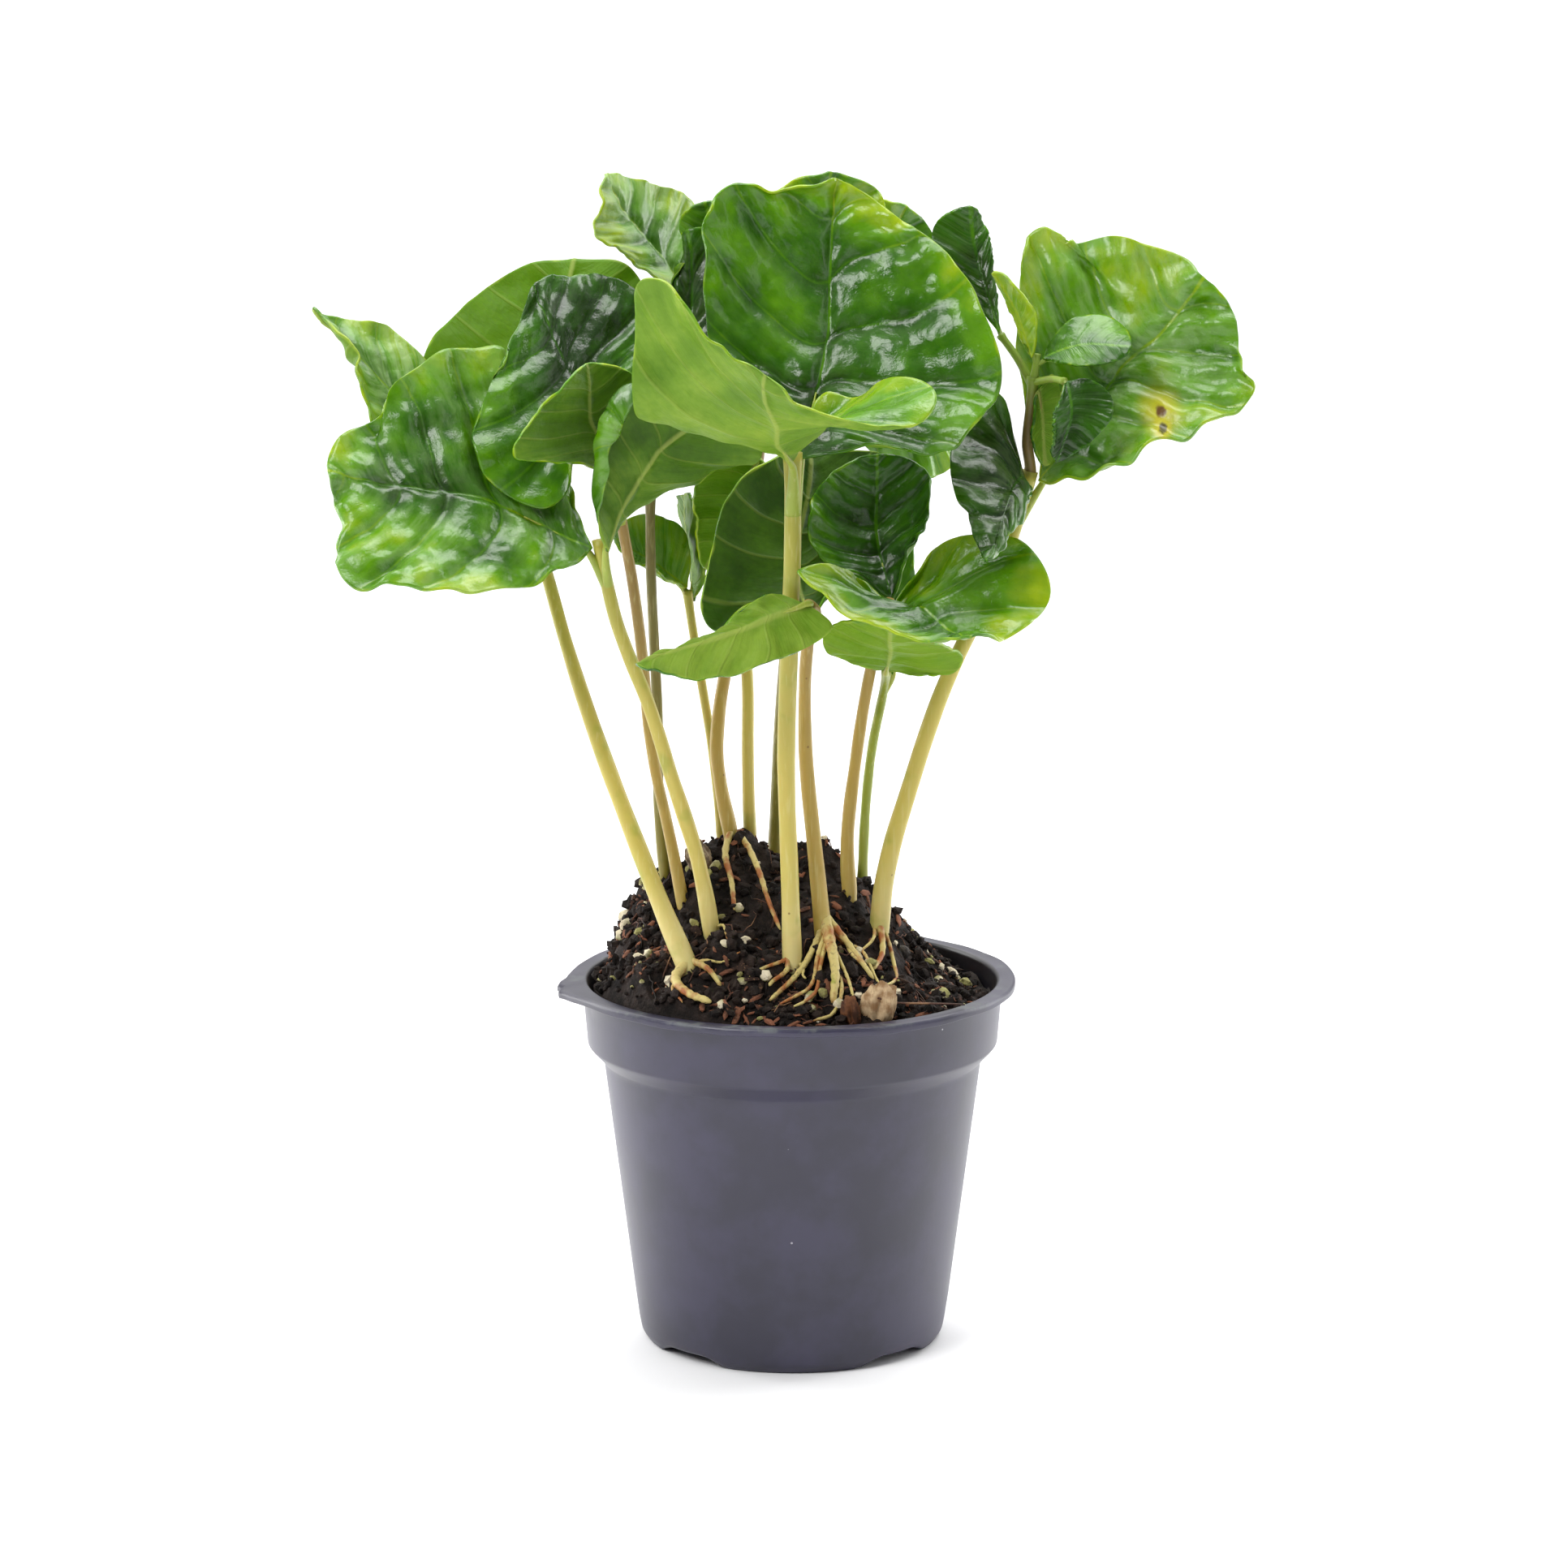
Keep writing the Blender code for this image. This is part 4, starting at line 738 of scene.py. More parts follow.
def stemLook(name, foot, middle, top, green):
    # young woody stem: pale waxy skin with a satin sheen, browner or greener with height
    look = Look(name, 0.42, IOR=1.45, Subsurface_Weight=0.15, Subsurface_Scale=0.001)
    add, place = look.add, look.place
    patch = add("TexNoise", {"Vector": place, "Scale": 1 / (7 * mm), "Detail": 3.0})
    height = add("SeparateXYZ", {0: place}, "Z")
    height = add("Math", {0: patch, 1: 14 * mm, 2: height}, **timesPlus)
    share = add("MapRange", {0: height, 1: 62 * mm, 2: 90 * mm}, **smooth)
    base = add("Mix", {0: share, 6: foot, 7: middle}, 2, **colours)
    share = add("MapRange", {0: height, 1: 95 * mm, 2: 142 * mm}, **smooth)
    base = add("Mix", {0: share, 6: base, 7: top}, 2, **colours)
    share = add("MapRange", {0: patch, 1: 0.56, 2: 0.7, 4: 0.55}, **smooth)
    base = add("Mix", {0: share, 6: base, 7: green}, 2, **colours)
    # pale streaks about 0.5 mm wide and 7 mm long
    along = add("Mapping", {"Scale": (1 / (0.5 * mm), 1 / (0.5 * mm), 1 / (7 * mm)), "Vector": place})
    streak = add("TexNoise", {"Vector": along, "Scale": 1.0, "Detail": 3.0})
    share = add("MapRange", {0: streak, 1: 0.52, 2: 0.75, 4: 0.25}, **smooth)
    base = add("Mix", {0: share, 6: base, 7: 0xD6CE90}, 2, **colours)
    # lenticels: brown dots about 0.3 mm wide
    dots = look.specks(2.6 * mm, 0.1, 0.05, 0.7, 0.75)
    share = add("Math", {0: dots, 1: 0.7}, **times)
    look.join("Base Color", add("Mix", {0: share, 6: base, 7: 0x6B4A26}, 2, **colours))
    relief = add("Math", {0: dots, 1: 0.4}, **times)
    relief = add("Math", {0: streak, 1: 0.6, 2: relief}, **timesPlus)
    look.join("Normal", add("Bump", {"Strength": 0.35, "Distance": 0.15 * mm, "Height": relief}))
    return look


stemLooks = {
    "stemYellow": stemLook("waxyYellowStem", 0xD6C78C, 0xBAAA50, 0x9E9A3A, 0x8F9634),
    "stemTan": stemLook("tanStem", 0xC4AE62, 0xA88E40, 0x8A7038, 0x978234),
    "stemOlive": stemLook("oliveStem", 0x9E9040, 0x7F7630, 0x665E26, 0x70702A),
    "stemGreen": stemLook("greenStem", 0xA8A650, 0x8A9634, 0x6F8226, 0x728428),
}

# root bark: cream and yellow-green skin that dries to rust orange in places
rootBark = Look("freshRootBark", 0.55, IOR=1.45)
add, place = rootBark.add, rootBark.place
patch = add("TexNoise", {"Vector": place, "Scale": 1 / (3.5 * mm), "Detail": 3.0})
fine = add("TexNoise", {"Vector": place, "Scale": 1 / (0.5 * mm), "Detail": 3.0})
share = add("MapRange", {0: patch, 1: 0.48, 2: 0.64}, **smooth)
base = add("Mix", {0: share, 6: 0xC2B06C, 7: 0x9A5A28}, 2, **colours)
share = add("MapRange", {0: patch, 1: 0.34, 2: 0.26}, **smooth)
base = add("Mix", {0: share, 6: base, 7: 0x9A9A42}, 2, **colours)
share = add("MapRange", {0: fine, 1: 0.55, 2: 0.75, 4: 0.6}, **smooth)
rootBark.join("Base Color", add("Mix", {0: share, 6: base, 7: 0x4A3220}, 2, **colours))
rootBark.join("Normal", add("Bump", {"Strength": 0.5, "Distance": 0.12 * mm, "Height": fine}))


def makeRoot(name, owner, rise, spots, radius, finer):
    foot = np.array(stemPoints(stems[owner][0])[2])
    way = [tuple(foot + np.array([0, 0, rise]))]
    for x, y in spots:
        height = float(soilHeight(np.array(float(x)), np.array(float(y))))
        way.append((x, y, height + radius + stemForm["rootLift"]))
    way = pathThrough(way, finer * len(way) + 1)
    if radius < 0.58:
        dice = random.Random(name)
        sway = [np.sin(np.linspace(0, dice.uniform(4, 9), len(way)) + dice.uniform(0, 6)) for _ in range(2)]
        way[1:, 0] += (sway[0] * 0.35)[1:]
        way[1:, 1] += (sway[1] * 0.35)[1:]
    taper = np.linspace(1, 0.55, len(way))
    knots = 1 + 0.12 * np.sin(np.linspace(0, 3 * len(way), len(way)) * 0.9)
    tip = np.where(np.arange(len(way)) == len(way) - 1, 0.45, 1)
    return growBar(name, way, radius * taper * knots * tip, 10)


def stemBar(key):
    points, low, top, look = stems[key]
    path = np.array(stemPoints(points))
    rings = len(path)
    finer = np.linspace(0, rings - 1, stemForm["detail"] * (rings - 1) + 1)
    path = np.stack([np.interp(finer, np.arange(rings), path[:, axis]) for axis in range(3)], axis=1)
    # the CAD bar bends at its rings; a short running mean takes the kinks out
    for _ in range(3):
        path[1:-1] = (path[:-2] + 2 * path[1:-1] + path[2:]) / 4
    share = np.linspace(0, 1, len(path))
    dice = random.Random("stem" + key)
    uneven = sum(dice.uniform(0.008, 0.02) * np.sin(share * dice.uniform(10, 45) + dice.uniform(0, 6))
                 for _ in range(4))
    swell = 0.16 * np.exp(-((share - 1.0) / 0.035) ** 2) + 0.10 * np.exp(-((share - 0.2) / 0.05) ** 2)
    slim = stemForm["slim"].get(key, stemForm["usualSlim"])
    radii = slim * (low + (top - low) * share ** 0.8) * (1 + uneven + swell)
    return path, radii


for key in stems:
    path, radii = stemBar(key)
    bars = [growBar("stem" + key, path, radii, stemForm["sides"])]
    coat(bars[0], stemLooks[stems[key][3]])
    own = [item for item in roots + rootlets if item[0] == key]
    for number, (owner, rise, spots, radius) in enumerate(own):
        bar = makeRoot("root%s%d" % (key, number), owner, rise, spots, radius, 5)
        coat(bar, rootBark)
        bars.append(bar)
    stem = joinThings("stem" + key, bars)
    brown = stems[key][3] in ("stemTan", "stemOlive")
    finishPiece(stem, "stem_tan" if brown else "stem_cream", "stem_" + key)
print("stems and roots grown")


# Leaves

leafForm = {
    "thick": 0.6,
    "shown": 0.42,
    "wave": 0.7,
    "waveCount": 5,
    "wavePhase": 40.0,
    "midribBow": 0.35,
    "foldShare": 0.3,
    "fullLength": 36,
    "veinDepths": (0.12, 0.3),
}
# stem, base, tip, left margin, right margin, sag, cells, slot, skin, quilting and, for a rolled margin, the
# roll. skin: tone of the top, its rise to the tip and to the left, painted sheen on it, tone of the underside,
# light through it
leaves = {
    "01a": ("01", (-43, -3, 136), (-74, -3, 163.5), [(-52, -8, 134.5), (-61.5, -12, 138.5),
        (-65, -11, 148.5), (-65.5, -9.5, 155), (-67.5, -7, 159.5), (-71, -5, 162)], [(-63.5, 4, 160.5),
        (-56.5, 3, 155), (-47, 0, 146)], 1, 60, "bright", (0.6, 0.1, 0, 0.7, 0.5, 0.3), 0.5),
    "01b": ("01", (-41.5, 0, 136), (-34, 12, 170), [(-32.5, 6, 142.5), (-24, 9, 155), (-24.5, 11, 168)],
        [(-46, 9, 166.5), (-54.5, 7, 159.5), (-57, 8, 153.5), (-50, 4, 142.5)], 3, 64, "lit",
        (0.6, 0, 0, 0.1, 0.2, 1.1), 0.25),
    "02a": ("02", (-31, -18, 130), (-70, -26, 142.5), [(-34, -24, 127.5), (-41, -32, 126),
        (-50.5, -38, 126.5), (-64.5, -38, 127), (-68.5, -34, 130.5), (-68, -29, 133.5), (-68.5, -27, 137)],
        [(-69.5, -24.5, 145.5), (-67, -23, 148), (-64.5, -21, 149), (-62, -19.5, 150.5), (-61, -18, 153.5),
        (-58, -16, 156), (-53.5, -12.5, 158.5), (-48.5, -9, 159), (-44, -7, 158.5), (-37, -7, 149.5),
        (-34, -12, 138)], -1, 92, "bright", (0.48, 0, 0, 0.22, 0.5, 0.3), 0.9),
    "02b": ("02", (-29, -19, 130), (-9.5, -24, 154.5), [(-22, -15, 137), (-13, -16, 140),
        (-4.5, -20, 144.5)], [(-15.5, -27, 162), (-23.5, -29, 162.5), (-31.5, -27, 157.5),
        (-34, -25, 147.5), (-34, -23, 138.5)], -1, 92, "under", (0.25, 0, 0, 0.2, 0.35, 0.15), 0.35,
        (-2, 110, 60, 0.6)),
    "03a": ("03", (-27.5, -15.5, 141), (-31, -21, 158), [(-23.5, -15, 144.5), (-23, -15, 154.5)],
        [(-36, -25, 154), (-41.5, -28, 147), (-41.5, -28, 144.5), (-34.5, -23, 143.5)], -1, 64, "lit",
        (0.5, 0, 0, 0.1, 0.4, 0.35), 0.3),
    "03b": ("03", (-29.8, -9, 151.5), (-40, -2, 167.5), [(-33, -11.5, 150), (-34, -15.5, 143.5),
        (-34.5, -18.5, 138), (-38.5, -20.5, 136), (-46, -22, 140.5), (-48.5, -20.5, 146), (-47, -17, 151),
        (-45, -13, 155.5), (-42, -7, 161.5)], [(-34.5, 3, 168.5), (-27, 4, 167.5), (-21.5, 2, 163),
        (-22, -4, 156.5)], 0, 92, "dark", (0.16, 0, 0.16, 0.05, 0.3, 0.2), 0.7),
    "04a": ("04", (-22, 2, 135), (-24.5, 44, 139.5), [(-25.5, 10, 135.5), (-31, 22, 137.5),
        (-30.5, 36, 139.5)], [(-15, 36, 138), (-13.5, 22, 135), (-17.5, 12, 134)], -4, 60, "dark",
        (0.4, 0, 0, 0.1, 0.4, 0.3), 0.7),
    "04b": ("04", (-22, 0, 137), (-16, 9, 175), [(-21.5, 3, 145.5), (-20, 6, 158), (-18.5, 8, 166),
        (-16, 9, 170.5)], [(-8.5, 6, 174.5), (-5, 5, 167), (-6, 0, 153.5), (-13.5, -1, 141)], 2, 60, "dark",
        (0.14, 0, 0, 0.15, 0.3, 0.2), 0.8),
    "05a": ("05", (-16.6, 12, 119), (-28, 4, 127.5), [(-20, 5, 121), (-24, 2, 124)], [(-24, 12, 129.5),
        (-18, 16, 127.5), (-16, 14, 122.5)], 1, 44, "pale", (0.66, 0, 0, 0.6, 0.6, 0.3), 0.5),
    "05b": ("05", (-15.5, 13, 115.5), (-17, 20, 131.5), [(-13.5, 11, 121), (-14, 10, 128),
        (-15.5, 11, 132.5)], [(-18, 32, 128), (-16.5, 30, 120.5), (-15.5, 22, 116.5)], 0, 48, "dark",
        (0.2, 0, 0, 0.2, 0.4, 0.2), 0.5),
    "06a": ("06", (-3.7, 15, 150), (6, 18, 182.5), [(-6.5, 17, 159), (-6.5, 17, 171.5), (-2, 17, 180)],
        [(14, 20, 178.5), (14.5, 22, 167), (7, 20, 154.5)], 3, 60, "dark", (0.5, 0, 0, 0.06, 0.5, 0.3),
        0.7),
    "06b": ("06", (-5.5, 8, 140), (-13.5, 6, 122), [(-9.5, 4, 139.5), (-14.5, 4, 136), (-15, 5, 128.5)],
        [(-6, 5, 122.5), (-2.5, 4, 129), (-2.5, 6, 136)], -2, 48, "lit", (0.7, 0, 0, 0.1, 0.7, 1), 0.4),
    "07a": ("07", (-14.5, 15.5, 161.5), (-29, 8, 183.5), [(-18.5, 11, 165.5), (-23, 8, 169),
        (-28, 5, 172.5), (-30, 4, 175.5), (-29.5, 5, 180)], [(-23.5, 16, 181.5), (-15.5, 24, 177.5),
        (-11.5, 24, 171)], 1, 64, "bright", (0.78, 0, 0, 1.2, 0.5, 0.3), 0.7),
    "07b": ("07", (-13, 12.5, 161.5), (-13.5, 10, 179), [(-14.5, 11, 168), (-17.5, 11, 175.5)],
        [(-6, 9, 177.5), (-2, 9, 170), (-6, 11, 163)], 1, 48, "bright", (0.3, 0.1, 0, 0.1, 0.4, 0.3), 0.4),
    "08a": ("08", (-0.5, -26.5, 144), (-4.5, -56, 161), [(5, -26, 154), (9, -28, 154), (12, -31, 156.5),
        (15.5, -34, 158), (19.5, -37, 158), (21.5, -41, 155.5), (19, -45, 152.5), (13, -47, 153),
        (5.5, -50, 154.5), (-0.5, -54, 157.5)], [(-10, -57, 166), (-17.5, -54.5, 173.5), (-22, -51, 174.5),
        (-23, -48, 170.5), (-23.5, -42, 157.5), (-22, -38, 152.5), (-11.5, -32.5, 153), (-4.5, -29.5, 151),
        (-2, -27.5, 148)], 3, 92, "under", (0.64, 0, 0, 0.15, 0.7, 0.35), 0.3),
    "08b": ("08", (1, -22, 144), (6.5, -6, 184.5), [(-5.5, -19, 149), (-12, -15, 159.5),
        (-13.5, -13, 171.5), (-13.5, -12, 178), (-10.5, -11, 183), (-7.5, -10.5, 184), (-2, -9.5, 183),
        (3, -8, 184.3)], [(15, -8, 179.5), (24.5, -13, 173), (31, -19, 160), (29, -23, 151),
        (22.5, -26, 145), (11.5, -24, 146)], 4, 104, "bright", (0.4, 0.24, -0.05, 0.06, 0.6, 0.3), 0.8),
    "09a": ("09", (1.7, -28, 122.8), (-23.5, -36, 115), [(-3.5, -27.5, 124), (-9.5, -30, 120),
        (-15.5, -33, 117)], [(-21.5, -38, 114), (-14, -38, 113), (-5, -34, 114), (3, -29, 116.5),
        (6, -27.5, 119)], 1, 64, "under", (0.3, 0, 0, 0.1, 0.85, 0.4), 0.5),
    "09b": ("09", (3.2, -14, 118), (3, 2, 141), [(6.5, -6, 124), (10.5, 3, 130.5), (14, 8, 139.5)],
        [(-2.5, -4, 141.5), (-9.5, -8, 136), (-12.5, -11, 127.5), (-14, -14, 120), (-12, -15, 116.5),
        (-6, -15, 120.5)], -2, 72, "under", (0.5, 0, 0, 0.1, 0.08, 0.1), 0.3),
    "10a": ("10", (16, -12.5, 120), (26.5, -41, 119.5), [(17.5, -15, 123.5), (23, -17, 130), (29, -20, 132),
        (35.5, -22, 130.5), (39, -26, 123.5), (32.5, -34, 118.5)], [(20.5, -40, 120), (10, -38, 121.5),
        (3.5, -34, 125), (1.5, -30, 129), (7.5, -22, 126.5), (13, -15, 122)], 1, 92, "bright",
        (0.62, 0, 0, 0.05, 0.6, 0.5), 0.45),
    "10b": ("10", (15.5, -8, 120), (13, 1, 141), [(10, -9, 123.5), (4, -8, 127), (2.5, -6, 133),
        (6.5, -2, 138.5)], [(20, 0, 139), (21.5, -2, 135.5), (19.5, -6, 129.5), (17, -8, 124.5)], 3, 64,
        "dark", (0.2, 0, 0, 0.03, 0.4, 0.2), 0.6),
    "11a": ("11", (14, -11, 109), (15, -28, 120), [(18.5, -12, 108.5), (23.5, -13, 109), (26, -16, 112)],
        [(6.5, -23, 118.5), (4.8, -19, 114.5), (10.5, -13, 110)], 0, 60, "lit", (0.5, 0, 0, 0.1, 0.8, 0.9),
        0.4),
    "11b": ("11", (15.5, -4, 107), (12.5, 12, 135.5), [(10.5, 3, 113.5), (7, 6, 122), (7, 8, 129.5)],
        [(18.5, 10, 130.5), (19, 6, 122), (18, 1, 114)], 2, 52, "dark", (0.4, 0, 0, 0.1, 0.4, 0.4), 0.6),
    "12a": ("12", (38.4, -6.8, 138.6), (63.5, -3, 169), [(38.4, -5, 143.5), (35, -3.5, 151.5),
        (35, 0, 167.5), (36, 1, 174), (38, 3, 175.5), (41, 3.5, 174.5), (42.5, 2.5, 173.5), (49, 2, 174.5),
        (57.5, 0, 172.5)], [(67.5, -6, 163), (68, -8, 158), (70.5, -10, 153), (68, -12, 149.5),
        (61, -15, 147.5), (56, -17, 146.3), (51.5, -18.5, 142.5), (44.5, -16, 140), (40, -11, 138.5)], 2,
        92, "bright", (0.58, 0.05, 0.05, 0.36, 0.5, 0.3), 0.9),
    "12b": ("12", (35.5, -9, 139), (29, -34, 130), [(36, -16, 137), (32.5, -28, 133)], [(26.5, -26, 135),
        (24, -20, 140.5), (24.5, -14, 145), (27.5, -10, 150), (30.5, -8, 152.5), (33.5, -7, 146)], -3, 64,
        "dark", (0.14, 0, 0, 0.16, 0.3, 0.2), 0.9),
    "13a": ("13", (7.8, 29.5, 150), (18, 30, 176), [(7, 26, 160.5), (9.5, 26, 172), (14, 28, 177)],
        [(22.5, 32, 171), (25, 34, 163), (18.5, 32, 153)], 3, 56, "bright", (0.4, 0.1, 0, 0.2, 0.5, 0.3),
        0.7),
    "13b": ("13", (9, 30.5, 145.5), (28, 38, 139), [(13.5, 34, 151.5), (22.5, 38, 148)], [(25.5, 34, 134),
        (20.5, 31, 132.5), (11, 29, 138.5)], -3, 48, "bright", (0.5, 0, 0, 0.1, 0.6, 0.5), 0.6),
}
# the young shoot on stem 12: its axis and leaf stalks, then its true leaves
shootBars = {
    "axis": ([(36.5, -7.1, 140.1), (36, -8, 144), (36.5, -9, 150), (36.8, -9.5, 154.5)], 0.75, 0.75),
    "bud": ([(36.8, -9.5, 153.5), (37.1, -9.7, 156), (37.4, -9.8, 158)], 0.7, 0.35),
    "stalkRear": ([(36.6, -9.3, 153), (34.4, -8, 157), (31.8, -6.5, 160.5)], 0.55, 0.5),
    "stalkFront": ([(36.8, -9.6, 153.6), (39.5, -13, 154.6), (41.3, -15.5, 154.6)], 0.5, 0.45),
}
trueLeaves = {
    "1": ("bud", (36.2, -10.6, 157.6), (30.5, -12, 171), [(35, -10.5, 160), (33.5, -10.5, 164),
        (31.3, -11, 168.5)], [(32.5, -13.5, 170), (35.5, -14, 167), (37, -13.5, 163.5), (37, -12, 160)],
        0.3, 44, "bright", (0.78, 0, 0, 0.05, 0.6, 0.5), 0.08),
    "2": ("bud", (38.4, -10, 157.2), (51.5, -14, 159.5), [(39.5, -9, 160), (42.5, -7.5, 163),
        (45.5, -6.5, 163.5), (49, -7, 163), (51, -9, 161.5)], [(50, -15, 158), (46, -15, 157),
        (41.8, -14, 157), (39.5, -12, 157.3)], -1, 44, "bright", (0.34, 0, 0.15, 0, 0.5, 0.3), 0.12),
    "3": ("stalkFront", (41.9, -16.3, 154.4), (40, -20, 143), [(44.5, -16.5, 155.2), (47, -17, 154),
        (48.5, -18, 152), (48, -19, 149), (44.5, -19.8, 145.5)], [(39.5, -21, 146), (39.5, -20.5, 149.5),
        (40.8, -18.7, 153)], -1, 56, "dark", (0.06, 0, 0, 0.03, 0.4, 0.2), 0.55),
    "4": ("axis", (37.6, -10.8, 152.4), (38.5, -11.5, 141), [(36.8, -11.9, 149), (36.6, -12, 144.5)],
        [(40, -10.6, 142), (41, -10.6, 147), (41, -10.4, 152), (39.6, -10.2, 155)], -0.3, 40, "lit",
        (0.4, 0, 0, 0.05, 0.6, 0.6), 0.15),
    "5": ("stalkRear", (31.2, -5.9, 161.3), (27.3, 0, 179.5), [(27.5, -2, 166), (21.5, 0, 173.5),
        (22.5, 0, 177.5)], [(29.5, 0, 177), (30.7, -2, 171), (31.2, -4, 165)], 0.5, 48, "dark",
        (0.1, 0, 0, 0.1, 0.4, 0.2), 0.5),
}


def margin(base, tip, left, right):
    base = np.array(base, float)
    tip = np.array(tip, float)
    lower = [base] + [np.array(p, float) for p in reversed(right)] + [tip]
    upper = [tip] + [np.array(p, float) for p in reversed(left)] + [base]

    def spread(points, start):
        steps = [0.0] + [np.linalg.norm(q - p) ** 0.8 for p, q in zip(points, points[1:])]
        reach = np.cumsum(steps)
        return start + math.pi * reach / reach[-1]

    knots = np.concatenate([spread(lower, -math.pi), spread(upper, 0)[1:]])
    return knots, np.array(lower + upper[1:])


def blade(base, tip, left, right, sag, a, b):
    # smooth surface of a leaf at disc places a and b: two margins, and a midrib between them
    knots, points = margin(base, tip, left, right)
    base = np.array(base, float)
    tip = np.array(tip, float)
    angle = np.arccos(np.clip(a, -1, 1))
    leftEdge = smoothCurve(knots, points, angle)
    rightEdge = smoothCurve(knots, points, -angle)
    up = unit(np.cross(tip - base, np.mean(left, axis=0) - np.mean(right, axis=0)))
    share = ((a + 1) / 2)[..., None]
    straight = base + (tip - base) * share
    ends = (np.clip(1 - np.abs(a), 0, 1) ** 0.5)[..., None]
    middle = straight + leafForm["midribBow"] * ends * ((leftEdge + rightEdge) / 2 - straight)
    middle = middle - up * sag * 4 * share * (1 - share)
    half = np.sqrt(np.clip(1 - a * a, 1e-9, 1))
    x = np.clip(b / half, -1, 1)[..., None]
    bow = (1 - leafForm["foldShare"]) * x * x + leafForm["foldShare"] * np.sqrt(x * x + 0.0004)
    return middle + (leftEdge - rightEdge) / 2 * x + ((leftEdge + rightEdge) / 2 - middle) * bow


def bladeNormal(shape, a, b):
    a, b = a * 0.97, b * 0.97
    step = 0.01
    along = blade(*shape, a + step, b) - blade(*shape, a - step, b)
    across = blade(*shape, a, b + step) - blade(*shape, a, b - step)
    normal = np.cross(along, across)
    return normal / (np.linalg.norm(normal, axis=-1, keepdims=True) + 1e-12)


def leafSurface(shape, roll, a, b, calm=1.0):
    place = blade(*shape, a, b)
    normal = bladeNormal(shape, a, b)
    radius = np.clip(np.hypot(a, b), 0, 1)
    angle = np.arctan2(b, a)
    quiet = np.clip((math.pi - np.abs(angle)) / 0.5, 0, 1)
    phase = math.radians(leafForm["wavePhase"])
    count = leafForm["waveCount"]
    wave = np.sin(count * angle + phase) + 0.5 * np.sin((2 * count - 1) * angle + 2.3 * phase)
    place = place + normal * (calm * leafForm["wave"] * quiet * radius ** 3 * wave)[..., None]
    if roll:
        bend, centre, spread, start = roll
        foldA, foldB = start * np.cos(angle), start * np.sin(angle)
        foldPlace = blade(*shape, foldA, foldB)
        foldNormal = bladeNormal(shape, foldA, foldB) * math.copysign(1, bend)
        off = np.abs((-np.degrees(angle) - centre + 180) % 360 - 180)
        weight = np.clip(1.3 - off / spread, 0, 1)
        reach = np.linalg.norm(place - foldPlace, axis=-1)
        outward = (place - foldPlace) / (reach[..., None] + 1e-9)
        turn = np.clip(weight * reach / abs(bend), 1e-6, 4.2)
        bend = abs(bend) / np.maximum(weight, 0.02)
        rolled = (foldPlace + (bend * np.sin(turn))[..., None] * outward
                  + (bend * (1 - np.cos(turn)))[..., None] * foldNormal)
        place = np.where(((radius > start) & (weight > 0.02))[..., None], rolled, place)
    return place


def seatLeaf(shape, path, low, top):
    # moves a leaf's base to a small gap from the bar that carries it, as the solids have it
    rings = np.arange(len(path))
    finer = np.linspace(0, len(path) - 1, 12 * (len(path) - 1) + 1)
    path = np.array(path, float)
    path = np.stack([np.interp(finer, rings, path[:, axis]) for axis in range(3)], axis=1)
    radii = np.linspace(low, top, len(path))
    base = np.array(shape[0], float)
    normal = bladeNormal(shape, np.array([-1.0]), np.array([0.0]))[0]
    tangent = unit(path[-1] - path[-3])
    away = base - path[-1]
    if away @ tangent > 0.8 * np.linalg.norm(away):
        gap = stemForm["seatGap"] + leafForm["thick"] / 2 * abs(normal @ tangent)
        return (path[-1] + tangent * gap,) + shape[1:], path[-4]
    gaps = np.linalg.norm(path[1:-2] - base, axis=1)
    index = int(np.argmin(gaps)) + 1
    tangent = unit(path[index + 1] - path[index - 1])
    side = base - path[index]
    side = unit(side - tangent * (side @ tangent))
    gap = stemForm["seatGap"] + leafForm["thick"] / 2 * abs(normal @ side)
    return (path[index] + side * (radii[index] + gap),) + shape[1:], path[max(0, index - 12)]


leafLight = {"Subsurface_Scale": 0.0012, "Subsurface_Radius": (0.5, 1.0, 0.15)}


def leafValues(look):
    # what makeLeaf writes at each point, the distance to the nearest side vein in mm, and places that run along
    # the side veins
    labels = ("edgeMm", "ribMm", "paintedSheen", "tone", "underTone", "glow", "veinPhase")
    values = {label: look.add("Attribute", None, "Fac", attribute_name=label) for label in labels}
    phase = values["veinPhase"]
    gap = look.add("Math", {0: look.add("Math", {0: phase}, operation="FRACT"), 1: -0.5}, operation="ADD")
    gap = look.add("Math", {0: gap}, operation="ABSOLUTE")
    values["side"] = look.add("Math", {0: gap, 1: 6.0}, **times)
    values["rib"] = look.add("Math", {0: values["ribMm"]}, operation="ABSOLUTE")
    across = look.add("Math", {0: values["ribMm"], 1: 0.22}, **times)
    along = look.add("Math", {0: phase, 1: 5.5}, **times)
    values["alongVein"] = look.add("CombineXYZ", {0: along, 1: across})
    return values


def leafRamp(look, tone, stops):
    # colours in order along a tone from 0 to 1
    colour = look.add("ValToRGB", {0: tone})
    elements = colour.node.color_ramp.elements
    while len(elements) < len(stops):
        elements.new(0.5)
    for element, (place, code) in zip(elements, stops):
        element.position = place
        element.color = linearColour(code)
    return colour


